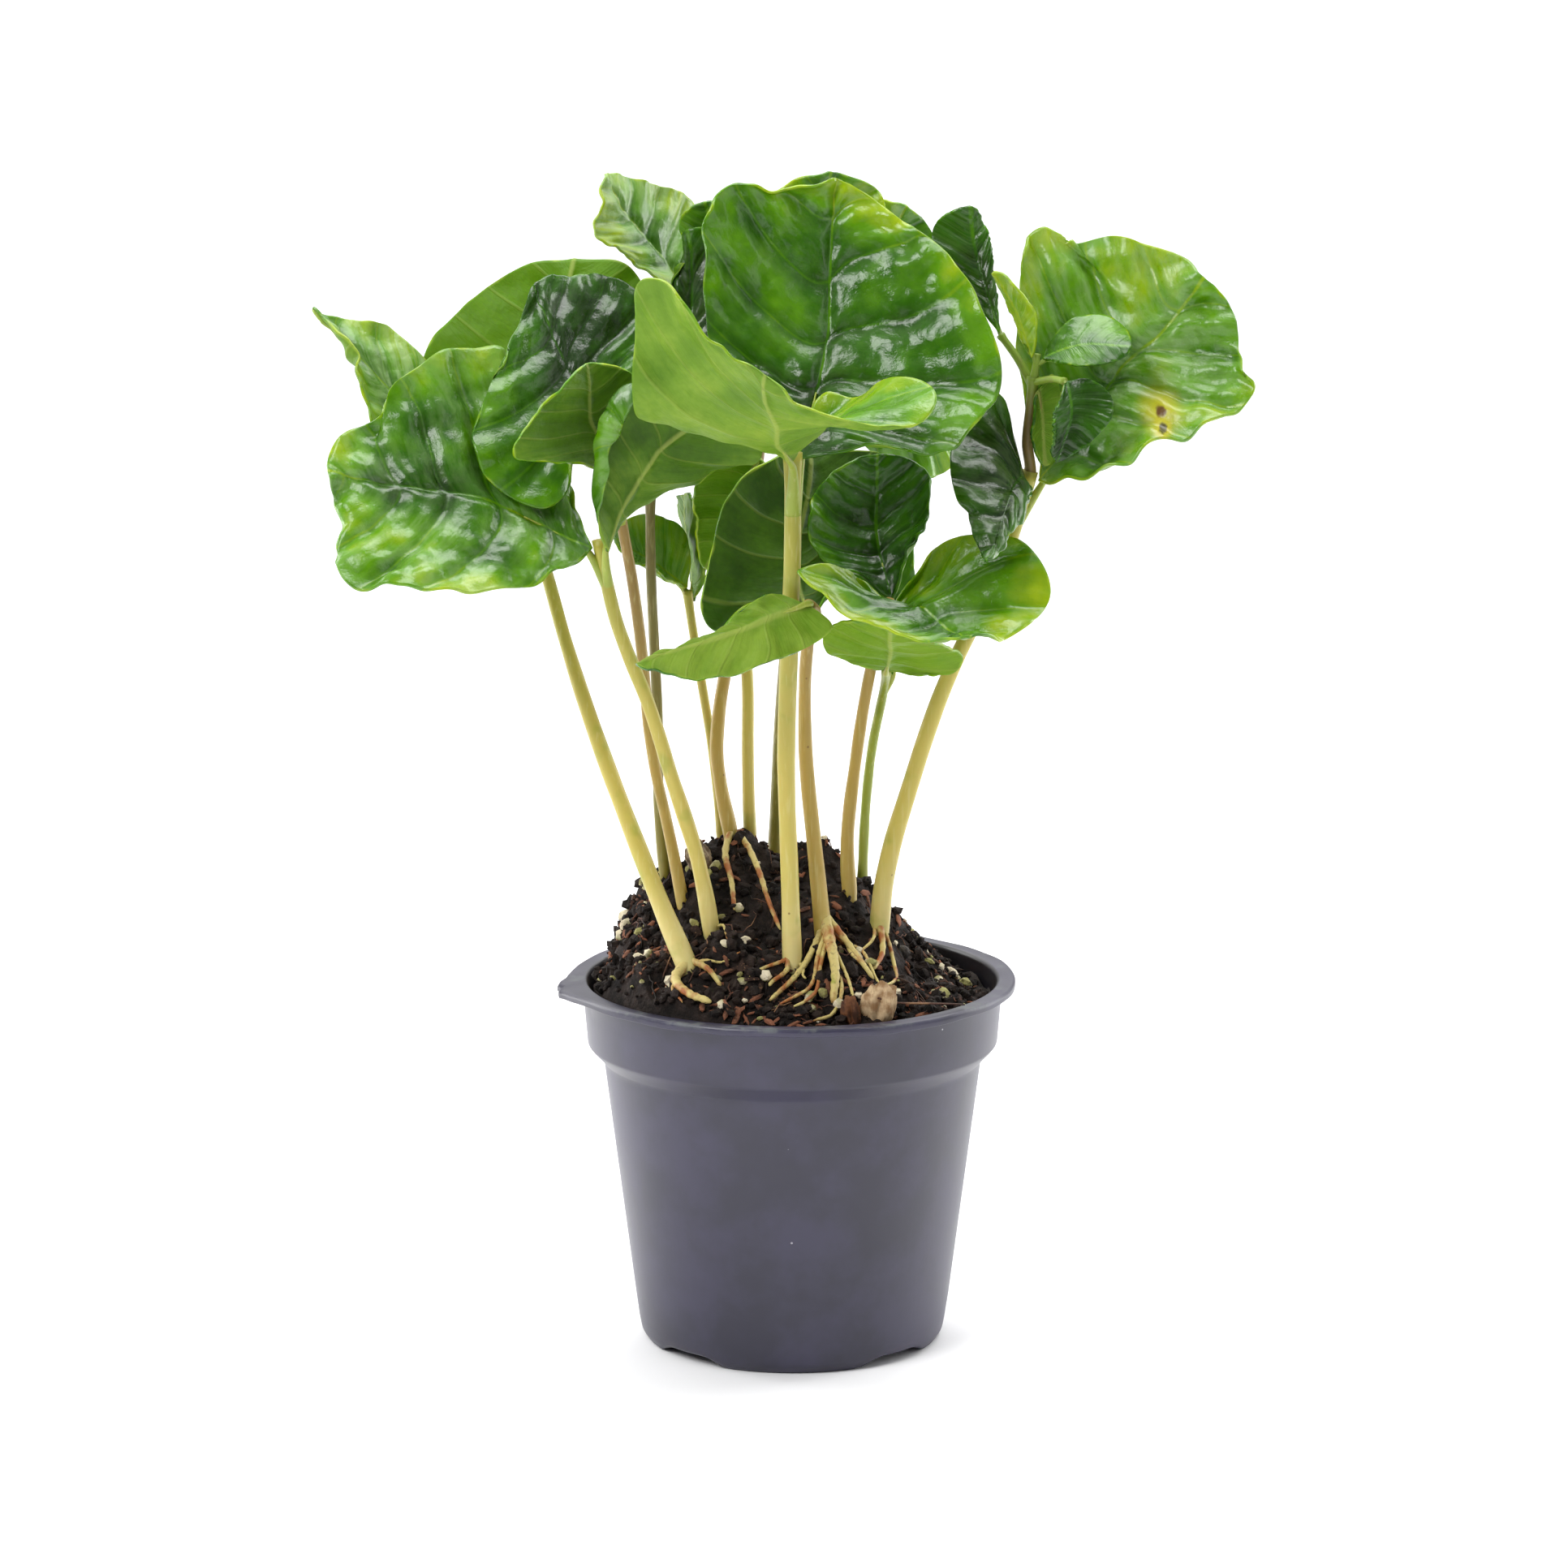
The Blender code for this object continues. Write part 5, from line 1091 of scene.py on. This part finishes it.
def leafTopLook(name, spots=(), veins=1.0):
    # waxy upper skin of a coffee leaf: a clear gloss over deep to yellow green, fine wrinkles that break the
    # light into streaks, thin lime veins and margin; painted shade in the creases, and a painted pale sheen
    # along the veins
    look = Look(name, 0.26, IOR=1.46, Subsurface_Weight=0.1, **leafLight)
    add, place = look.add, look.place
    value = leafValues(look)
    edge, rib, side, paintedSheen = (value[label] for label in ("edgeMm", "rib", "side", "paintedSheen"))
    mottle = add("TexNoise", {"Vector": place, "Scale": 1 / (2.4 * mm), "Detail": 3.0})
    broad = add("TexNoise", {"Vector": place, "Scale": 1 / (9 * mm), "Detail": 2.0})
    # the dip along each side vein: a bump below, and painted shade in the tone
    creaseDipAndShade = add("MapRange", {0: side, 1: 1.6, 2: 0.2, 4: veins}, **smooth)
    nearEdge = add("MapRange", {0: edge, 1: 9.0, 2: 0.3}, **smooth)
    ribHollowShade = add("MapRange", {0: rib, 1: 7.0, 2: 0.5}, **smooth)
    # the noises swing round 0.5, so half of each weight comes off first
    tone = add("Math", {0: value["tone"], 1: -(0.75 + 0.3) / 2}, operation="ADD")
    # painted shade: the tone darkens in the side-vein creases and in the hollow along the midrib
    for part, weight in ((broad, 0.75), (mottle, 0.3), (nearEdge, 0.2), (ribHollowShade, -0.14), (creaseDipAndShade, -0.12)):
        tone = add("Math", {0: part, 1: weight, 2: tone}, **timesPlus)
    greens = ((0.0, 0x122E00), (0.35, 0x2C5C00), (0.65, 0x568A00), (1.0, 0x98AE08))
    base = leafRamp(look, tone, greens)
    paler = leafRamp(look, add("Math", {0: tone, 1: 0.28}, operation="ADD"), greens)
    streak = add("TexNoise", {"Vector": value["alongVein"], "Scale": 1.0, "Detail": 4.0, "Roughness": 0.6})
    sheenStreak = add("MapRange", {0: streak, 1: 0.36, 2: 0.62, 4: 0.75}, **smooth)
    # painted sheen: a pale green-white colour in streaks along the side veins stands in for the wax's
    # reflection
    base = add("Mix", {0: add("Math", {0: paintedSheen, 1: sheenStreak}, **times), 6: base, 7: 0x93B070}, 2, **colours)
    # side veins, midrib and margin: distance, from and to in mm, and how much paler
    lines = ((side, 0.2, 0.04, 0.4 * veins), (rib, 0.36, 0.1, 0.8), (edge, 0.5, 0.12, 0.75))
    for gap, start, end, most in lines:
        line = add("MapRange", {0: gap, 1: start, 2: end, 4: most}, **smooth)
        base = add("Mix", {0: line, 6: base, 7: paler}, 2, **colours)
    for x, z, halo, core, tint in spots:
        # a spot in a yellow halo, placed as seen from the front
        front = add("VectorMath", {0: place, 1: (1, 0, 1)}, **times)
        gap = add("VectorMath", {0: front, 1: (x * mm, 0, z * mm)}, "Value", operation="DISTANCE")
        gap = add("Math", {0: gap, 1: -0.7 * mm}, operation="ADD")
        gap = add("Math", {0: mottle, 1: 1.4 * mm, 2: gap}, **timesPlus)
        for start, end, most, colour in ((halo, core, 0.85, 0xB0A820), (core * 1.2, core * 0.6, 1.0, tint)):
            share = add("MapRange", {0: gap, 1: start * mm, 2: end * mm, 4: most}, **smooth)
            base = add("Mix", {0: share, 6: base, 7: colour}, 2, **colours)
    look.join("Base Color", base)
    dull = add("Math", {0: mottle, 1: 0.12, 2: 0.15}, **timesPlus)
    look.join("Roughness", add("Math", {0: paintedSheen, 1: 0.16, 2: dull}, **timesPlus))
    # the blade puckers between its finest veins: low domes about 2 mm wide, and wrinkles along the veins
    dome = add("TexVoronoi", {"Vector": place, "Scale": 1 / (2 * mm), "Smoothness": 0.6}, "Distance",
               feature="SMOOTH_F1")
    wrinkled = add("TexNoise", {"Vector": place, "Scale": 1 / (13 * mm), "Detail": 1.0})
    wrinkled = add("MapRange", {0: wrinkled, 1: 0.42, 2: 0.62, 3: 0.25, 4: 1.0}, **smooth)
    middling = add("TexNoise", {"Vector": place, "Scale": 1 / (3.2 * mm), "Detail": 2.0})
    fine = add("TexNoise", {"Vector": place, "Scale": 1 / (1.3 * mm), "Detail": 4.0, "Roughness": 0.6})
    relief = add("Math", {0: streak, 1: wrinkled}, **times)
    relief = add("Math", {0: relief, 1: 0.9}, **times)
    for part, weight in ((dome, -0.9), (middling, 0.7), (fine, 0.75), (creaseDipAndShade, -0.5)):
        relief = add("Math", {0: part, 1: weight, 2: relief}, **timesPlus)
    look.join("Normal", add("Bump", {"Strength": 0.6, "Distance": 0.26 * mm, "Height": relief}))
    return look


def leafUnderLook(name):
    # matt underside of the leaf: paler olive green with fine raised veins; yellow where light comes through
    look = Look(name, 0.5, IOR=1.45, Specular_IOR_Level=0.2, Subsurface_Weight=0.15, **leafLight)
    add, place = look.add, look.place
    value = leafValues(look)
    side = value["side"]
    broad = add("TexNoise", {"Vector": place, "Scale": 1 / (8 * mm), "Detail": 3.0})
    fine = add("TexNoise", {"Vector": place, "Scale": 1 / (0.9 * mm), "Detail": 3.0})
    swell = add("TexNoise", {"Vector": place, "Scale": 1 / (3.5 * mm), "Detail": 2.0})
    streak = add("TexNoise", {"Vector": value["alongVein"], "Scale": 1.0, "Detail": 3.0, "Roughness": 0.6})
    sideLine = add("MapRange", {0: side, 1: 0.3, 2: 0.06}, **smooth)
    nearSide = add("MapRange", {0: side, 1: 2.4, 2: 0.4}, **smooth)
    tone = add("Math", {0: value["underTone"], 1: -(1.0 + 0.25 + 0.3) / 2}, operation="ADD")
    for part, weight in ((broad, 1.0), (fine, 0.25), (nearSide, 0.08), (streak, 0.3)):
        tone = add("Math", {0: part, 1: weight, 2: tone}, **timesPlus)
    base = leafRamp(look, tone, ((0.0, 0x264408), (0.4, 0x456812), (0.7, 0x688828), (1.0, 0x8AA23C)))
    glow = add("Math", {0: value["glow"], 1: 0.7}, **times)
    sideShare = add("Math", {0: sideLine, 1: 0.18}, **times)
    ribShare = add("MapRange", {0: value["rib"], 1: 0.5, 2: 0.12, 4: 0.45}, **smooth)
    edgeShare = add("MapRange", {0: value["edgeMm"], 1: 0.5, 2: 0.12, 4: 0.6}, **smooth)
    for share, colour in ((glow, 0x5C8600), (sideShare, 0x9CAA50), (ribShare, 0xA8B25C), (edgeShare, 0x96AC3C)):
        base = add("Mix", {0: share, 6: base, 7: colour}, 2, **colours)
    look.join("Base Color", base)
    relief = swell
    for part, weight in ((fine, 0.3), (sideLine, 0.4), (streak, 0.9)):
        relief = add("Math", {0: part, 1: weight, 2: relief}, **timesPlus)
    look.join("Normal", add("Bump", {"Strength": 0.8, "Distance": 0.3 * mm, "Height": relief}))
    return look


# x and z of a spot in mm, the radii of its halo and its core, and the core's colour
rustSpots = ((56.2, 149.4, 4.5, 0.9, 0x5E3E16), (56.4, 147.1, 1.8, 0.6, 0x4C481E))
topLook = leafTopLook("glossyLeafTop")
youngTop = leafTopLook("glossyYoungLeaf", veins=0.4)
spottedTop = leafTopLook("glossyLeafSpotted", rustSpots)
underLook = leafUnderLook("mattLeafUnderside")


def veinPlan(seed, a, b, count):
    # side veins are the whole-and-a-half values of a smooth number that rises from base to tip
    dice = random.Random(seed)
    across = np.abs(b)
    drift = across * (0.6 + 0.5 * across * across)
    along = (a - 0.55 * drift) / (1 + 0.6 * drift)
    along = along + dice.uniform(0.05, 0.12) * np.tanh(b / 0.1) + 0.03 * np.sin(5 * a + dice.uniform(0, 6))
    rise = np.clip((along + 1.25) / 2.1, 0, 1.4)
    return count * rise ** 0.75 + dice.uniform(0, 1)


def ripple(seed, p, q, low, high, count=9):
    # sum of a few random waves, with wavelengths in mm
    dice = random.Random(seed)
    total = 0.0
    for _ in range(count):
        turn = dice.uniform(0, math.pi)
        length = dice.uniform(low, high)
        start = dice.uniform(0, 2 * math.pi)
        total = total + np.sin((p * math.cos(turn) + q * math.sin(turn)) * 2 * math.pi / length + start)
    return total / math.sqrt(count)


def makeLeaf(name, shape, entry, veinCount, node):
    cells, slot, skin, quilting, *roll = entry
    roll = roll[0] if roll else None
    topTone, rise, slant, paintedSheen, underTone, glow = skin
    clearSelection()
    bpy.ops.mesh.primitive_grid_add(x_subdivisions=cells, y_subdivisions=cells, size=2)
    leaf = bpy.context.object
    leaf.name = name
    leaf.data.name = name
    flat = meshPoints(leaf)
    a = flat[:, 0] * np.sqrt(1 - flat[:, 1] ** 2 / 2)
    b = flat[:, 1] * np.sqrt(1 - flat[:, 0] ** 2 / 2)
    radius = np.clip(np.hypot(a, b), 0, 1)
    angle = np.arctan2(b, a)
    # small leaves are flatter and have a calmer margin
    size = min(1.0, np.linalg.norm(np.array(shape[1]) - np.array(shape[0])) / leafForm["fullLength"]) ** 2
    place = leafSurface(shape, roll, a, b, size ** 0.7)
    movePoints(leaf, place * mm)
    normals = meshNormals(leaf)

    # lengths of the blade along and across the midrib turn disc places into millimetres
    ends = blade(*shape, np.array([-1.0, 1.0, 0.0, 0.0]), np.array([0.0, 0.0, -1.0, 1.0]))
    long = np.linalg.norm(ends[1] - ends[0])
    wide = np.linalg.norm(ends[3] - ends[2])
    along = a * long / 2
    across = b * wide / 2
    rim = leafSurface(shape, None, np.cos(angle), np.sin(angle))
    edgeGap = np.linalg.norm(rim - blade(*shape, a, b), axis=1)
    phase = veinPlan(name, a, b, veinCount)
    fromSide = np.abs(phase % 1 - 0.5) * (long / veinCount)
    fromRib = np.abs(across)
    neck = np.clip((np.linalg.norm(place - place[np.argmin(a)], axis=1) - 2) / 6, 0, 1)

    # the skin bulges between the veins, folds along them, puckers, and frills towards the margin
    hollow = np.minimum(fromSide, fromRib * 1.3)
    bulge = 1 - np.exp(-(hollow / 1.35) ** 2)
    fold = np.sin(2 * math.pi * 2 * phase + 0.8 * ripple(name + "f", along, across, 8, 20))
    pucker = ripple(name + "p", along, across, 4.5, 10)
    relief = 0.95 * (bulge - 0.6) + 0.34 * radius ** 2 * fold + 0.42 * (0.35 + 0.65 * radius) * pucker
    relief = quilting * relief * neck * (0.45 + 0.55 * np.clip(edgeGap / 3, 0, 1))
    frill = size * (0.12 + 0.4 * quilting) * radius ** 6
    frill = frill * np.sin(13 * angle + 2 * ripple(name + "e", along, across, 10, 30))
    place = place + normals * ((relief + frill * neck)[:, None])
    outward = place - place.mean(axis=0)
    outward = outward / (np.linalg.norm(outward, axis=1, keepdims=True) + 1e-9)
    ruffle = 0.24 * size * radius ** 10 * neck * ripple(name + "r", along, across, 7, 18)
    place = place + outward * ruffle[:, None]
    movePoints(leaf, place * mm)

    # what the skins read at each point
    shade = 0.1 * ripple(name + "t", along, across, 14, 34)
    rows = {"edgeMm": edgeGap, "ribMm": across, "veinPhase": phase,
            "tone": topTone + rise * a + slant * b + shade, "paintedSheen": np.clip(paintedSheen * (1 + 4 * shade), 0, 1),
            "underTone": underTone + shade / 2, "glow": np.full(len(a), glow)}
    for label, values in rows.items():
        attribute = leaf.data.attributes.new(label, "FLOAT", "POINT")
        attribute.data.foreach_set("value", values.astype(np.float32))
    while leaf.data.uv_layers:
        leaf.data.uv_layers.remove(leaf.data.uv_layers[0])
    layer = leaf.data.uv_layers.new(name="leafMap")
    corner = np.empty(len(leaf.data.loops), int)
    leaf.data.loops.foreach_get("vertex_index", corner)
    spread = np.stack([along, across], axis=1)[corner] / 50 + 0.5
    layer.data.foreach_set("uv", spread.astype(np.float32).ravel())

    upperLook = spottedTop if name == "leaf12a" else youngTop if name.startswith("true") else topLook
    coat(leaf, upperLook, underLook)
    upward = meshNormals(leaf)
    shell = leaf.modifiers.new("thickness", "SOLIDIFY")
    shell.thickness = leafForm["shown"] * mm
    shell.offset = 0
    shell.material_offset = 1
    applyAll(leaf)
    # veins stand out below and lie sunk above
    double = meshPoints(leaf)
    ridge = np.exp(-(fromRib / (0.6 - 0.3 * (a + 1) / 2)) ** 2)
    ridge = np.maximum(ridge, 0.55 * np.exp(-(fromSide / 0.45) ** 2))
    ridge = ridge * (0.4 + 0.6 * size) * np.clip(edgeGap / 2.5, 0, 1)
    half = len(flat)
    topFirst = np.sum((double[:half] - place * mm) * upward) > 0
    first, second = leafForm["veinDepths"] if topFirst else leafForm["veinDepths"][::-1]
    double[:half] -= upward * (ridge * first * mm)[:, None]
    double[half:] -= upward * (ridge * second * mm)[:, None]
    movePoints(leaf, double)
    takeUp(leaf)
    bpy.ops.object.shade_smooth()
    finishPiece(leaf, "leaf_" + slot, node)
    return leaf


def petiole(name, shape, start, thick, reach):
    # leaf stalk: leaves the stem, meets the blade's base and runs out along the midrib's underside
    a = np.linspace(-0.98, reach, 14)
    b = np.zeros_like(a)
    fade = ((1 - (a + 0.98) / (reach + 0.98)) ** 1.4)[:, None]
    rib = leafSurface(shape, None, a, b) - bladeNormal(shape, a, b) * (0.2 + 0.75 * thick * fade)
    path = pathThrough([tuple(start)] + [tuple(p) for p in rib[::3]], 22)
    share = np.linspace(0, 1, len(path))
    return growBar(name, path, thick * (1 - share) ** 1.4 + 0.12, 12)


# leaf stalk: the stem's wax gone green, as pale as the underside that it runs into
stalkLook = stemLook("paleLeafStalk", 0x9EA044, 0x9AA040, 0x92A03C, 0x869634)
stalks = []
for key, (stem, base, tip, left, right, sag, *entry) in leaves.items():
    points, low, top, look = stems[stem]
    shape, start = seatLeaf((base, tip, left, right, sag), stemPoints(points), low, top)
    makeLeaf("leaf" + key, shape, entry, 6.4, "leaf_" + key)
    stalk = petiole("stalk" + key, shape, start, 0.75 * top, -0.45)
    coat(stalk, stalkLook)
    stalks.append(stalk)
finishPiece(joinThings("cotyledonStalks", stalks), "stem_cream")
print("seed leaves unfolded:", len(leaves))

# purple-brown young wood of the shoot, greener towards its tip
shootWood = Look("youngShootWood", 0.45, IOR=1.45)
add, place = shootWood.add, shootWood.place
patch = add("TexNoise", {"Vector": place, "Scale": 1 / (1.6 * mm), "Detail": 3.0})
height = add("SeparateXYZ", {0: place}, "Z")
share = add("MapRange", {0: height, 1: 147 * mm, 2: 155 * mm}, **smooth)
base = add("Mix", {0: share, 6: 0x86703E, 7: 0x7C9630}, 2, **colours)
share = add("MapRange", {0: patch, 1: 0.5, 2: 0.7, 4: 0.4}, **smooth)
shootWood.join("Base Color", add("Mix", {0: share, 6: base, 7: 0x7C7448}, 2, **colours))
shootWood.join("Normal", add("Bump", {"Strength": 0.4, "Distance": 0.12 * mm, "Height": patch}))
twigs = []
for name, (points, low, top) in shootBars.items():
    # the shoot's foot closes the solids' gap over the stem
    foot = [(36.4, -7.0, 138.8)] if name == "axis" else []
    path = pathThrough(foot + points, 24)
    share = np.linspace(0, 1, len(path))
    swell = 0.25 * np.exp(-((share - 0.98) / 0.05) ** 2) + 0.2 * np.exp(-(share / 0.06) ** 2)
    twig = growBar("twig" + name, path, 1.15 * (low + (top - low) * share) * (1 + swell), 16)
    twigs.append(twig)
for key, (bar, base, tip, left, right, sag, *entry) in trueLeaves.items():
    points, low, top = shootBars[bar]
    shape, start = seatLeaf((base, tip, left, right, sag), pathThrough(points, 5), low, top)
    makeLeaf("trueLeaf" + key, shape, entry, 8.5, "true_leaf_" + key)
    twigs.append(petiole("twigLeaf" + key, shape, start, 0.3, -0.2))
for twig in twigs:
    coat(twig, shootWood)
finishPiece(joinThings("youngShoot", twigs), "shoot", "shoot")
print("young shoot grown")


# Seed husks

husks = {
    "pale": {"node": "husk_pale", "centre": (13.2, -26.2, 59.6), "half": (2.7, 1.4, 3.9), "turn": 14.0,
             "dark": 0x8C6A46, "light": 0xCBB08A},
    "brown": {"node": "husk_brown", "centre": (9.0, -27.4, 58.6), "half": (1.5, 1.1, 3.0), "turn": -10.0,
              "dark": 0x3E2314, "light": 0x7C4E2E},
    "left": {"node": "husk_left", "centre": (-14.6, -0.6, 77.4), "half": (2.0, 1.6, 2.6), "turn": -25.0,
             "dark": 0x5A4A3A, "light": 0xA39078},
}


def huskLook(name, dark, light):
    # parchment round a coffee seed: brittle and matt, with fine fibres along it
    look = Look(name, 0.75, Specular_IOR_Level=0.35)
    add, place = look.add, look.place
    along = add("Mapping", {"Scale": (1 / (0.3 * mm), 1 / (0.3 * mm), 1 / (2.5 * mm)), "Vector": place})
    lines = add("TexNoise", {"Vector": along, "Scale": 1.0, "Detail": 4.0, "Roughness": 0.6})
    stain = add("TexNoise", {"Vector": place, "Scale": 1 / (1.8 * mm), "Detail": 4.0})
    share = add("MapRange", {0: stain, 1: 0.35, 2: 0.65}, **smooth)
    base = add("Mix", {0: share, 6: dark, 7: light}, 2, **colours)
    share = add("MapRange", {0: lines, 1: 0.52, 2: 0.68, 4: 0.6}, **smooth)
    look.join("Base Color", add("Mix", {0: share, 6: base, 7: dark}, 2, **colours))
    relief = add("Math", {0: lines, 1: 1.4, 2: stain}, **timesPlus)
    look.join("Normal", add("Bump", {"Strength": 0.9, "Distance": 0.2 * mm, "Height": relief}))
    return look


for name, husk in husks.items():
    clearSelection()
    bpy.ops.mesh.primitive_uv_sphere_add(segments=48, ring_count=32, radius=1)
    shell = bpy.context.object
    shell.name = "husk" + name.capitalize()
    points = meshPoints(shell)
    around = np.arctan2(points[:, 1], points[:, 0])
    ribs = 1 + 0.05 * np.sin(9 * around + 3 * points[:, 2]) + 0.03 * np.sin(4 * around - 5 * points[:, 2])
    # a split down the front of the shell
    split = np.exp(-((around + math.pi / 2) / 0.22) ** 2) * np.clip(1 - np.abs(points[:, 2]), 0, 1)
    points[:, :2] *= (ribs - 0.55 * split)[:, None]
    ragged = np.array([noise.fractal(Vector(point) * 1.7, 0.8, 2.1, 4) for point in points])
    points *= (1 + 0.22 * ragged)[:, None]
    points *= np.array(husk["half"])
    turn = np.array(Matrix.Rotation(math.radians(husk["turn"]), 3, "Y"))
    movePoints(shell, (points @ turn.T + np.array(husk["centre"])) * mm)
    bpy.ops.object.shade_smooth()
    coat(shell, huskLook("parchment" + name.capitalize(), husk["dark"], husk["light"]))
    finishPiece(shell, husk["node"], husk["node"])
seedX, seedY = 17.1, -3.0
seedSpot = ((seedX, seedY, surfaceAt(seedX, seedY)[0] + 0.9), Matrix.Rotation(0.5, 4, "X").to_quaternion(),
            (1.4, 1.1, 1.2))
scatter("driedSeed", [modelGrain("seed", 3, 0.03, 60)], [seedSpot],
        huskLook("driedSeedCoat", 0x1C1816, 0x4A423A), "soil")
print("seed husks laid")


# Fibres in the soil

# coir and root threads: thin, rust to straw coloured
coir = Look("coirFibre", 0.7)
kind = coir.add("TexNoise", {"Vector": coir.place, "Scale": 1 / (7 * mm), "Detail": 1.0})
rusty = coir.add("MapRange", {0: kind, 1: 0.4, 2: 0.5}, **smooth)
straw = coir.add("MapRange", {0: kind, 1: 0.6, 2: 0.7}, **smooth)
base = coir.add("Mix", {0: rusty, 6: 0x1C120C, 7: 0x4E2E1E}, 2, **colours)
coir.join("Base Color", coir.add("Mix", {0: straw, 6: base, 7: 0x8A6444}, 2, **colours))
fibres = {"count": 150, "seed": 17, "low": 2.5, "high": 8.0}
dice = random.Random(fibres["seed"])
threads = []
for number in range(fibres["count"]):
    x, y = randomSpot(dice, 29.0, 0.4)
    heading = dice.uniform(0, 2 * math.pi)
    length = dice.uniform(fibres["low"], fibres["high"])
    way = []
    for step in range(8):
        if math.hypot(x, y) > 30.4:
            break
        height, normal = surfaceAt(x, y)
        way.append((x, y, height + 0.15 + 0.9 * math.sin(step / 7 * math.pi) * dice.random()))
        x += math.cos(heading) * length / 7
        y += math.sin(heading) * length / 7
        heading += dice.gauss(0, 0.45)
    if len(way) < 4:
        continue
    thick = dice.uniform(0.06, 0.14)
    threads.append(growBar("thread%d" % number, way, [thick] * len(way), 4))
# the one long rust-coloured thread that lies from the husk to the rim
longThread = [(13.0, -27.2, 61.2), (15.5, -26.0, 60.2), (18.5, -25.0, 59.8), (21.5, -23.5, 59.4),
              (24.5, -21.8, 58.9), (26.5, -21.0, 58.6)]
threads.append(growBar("threadLong", pathThrough(longThread, 24), [0.16] * 24, 6))
fibrePiece = joinThings("soilFibres", threads)
coat(fibrePiece, coir)
finishPiece(fibrePiece, "soil")
print("fibres laid")

triangles = 0
for thing in bpy.data.objects:
    if thing.type == "MESH" and "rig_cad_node" not in thing and thing.name != "studioFloor":
        triangles += sum(len(face.vertices) - 2 for face in thing.data.polygons)
print("triangles added:", triangles)
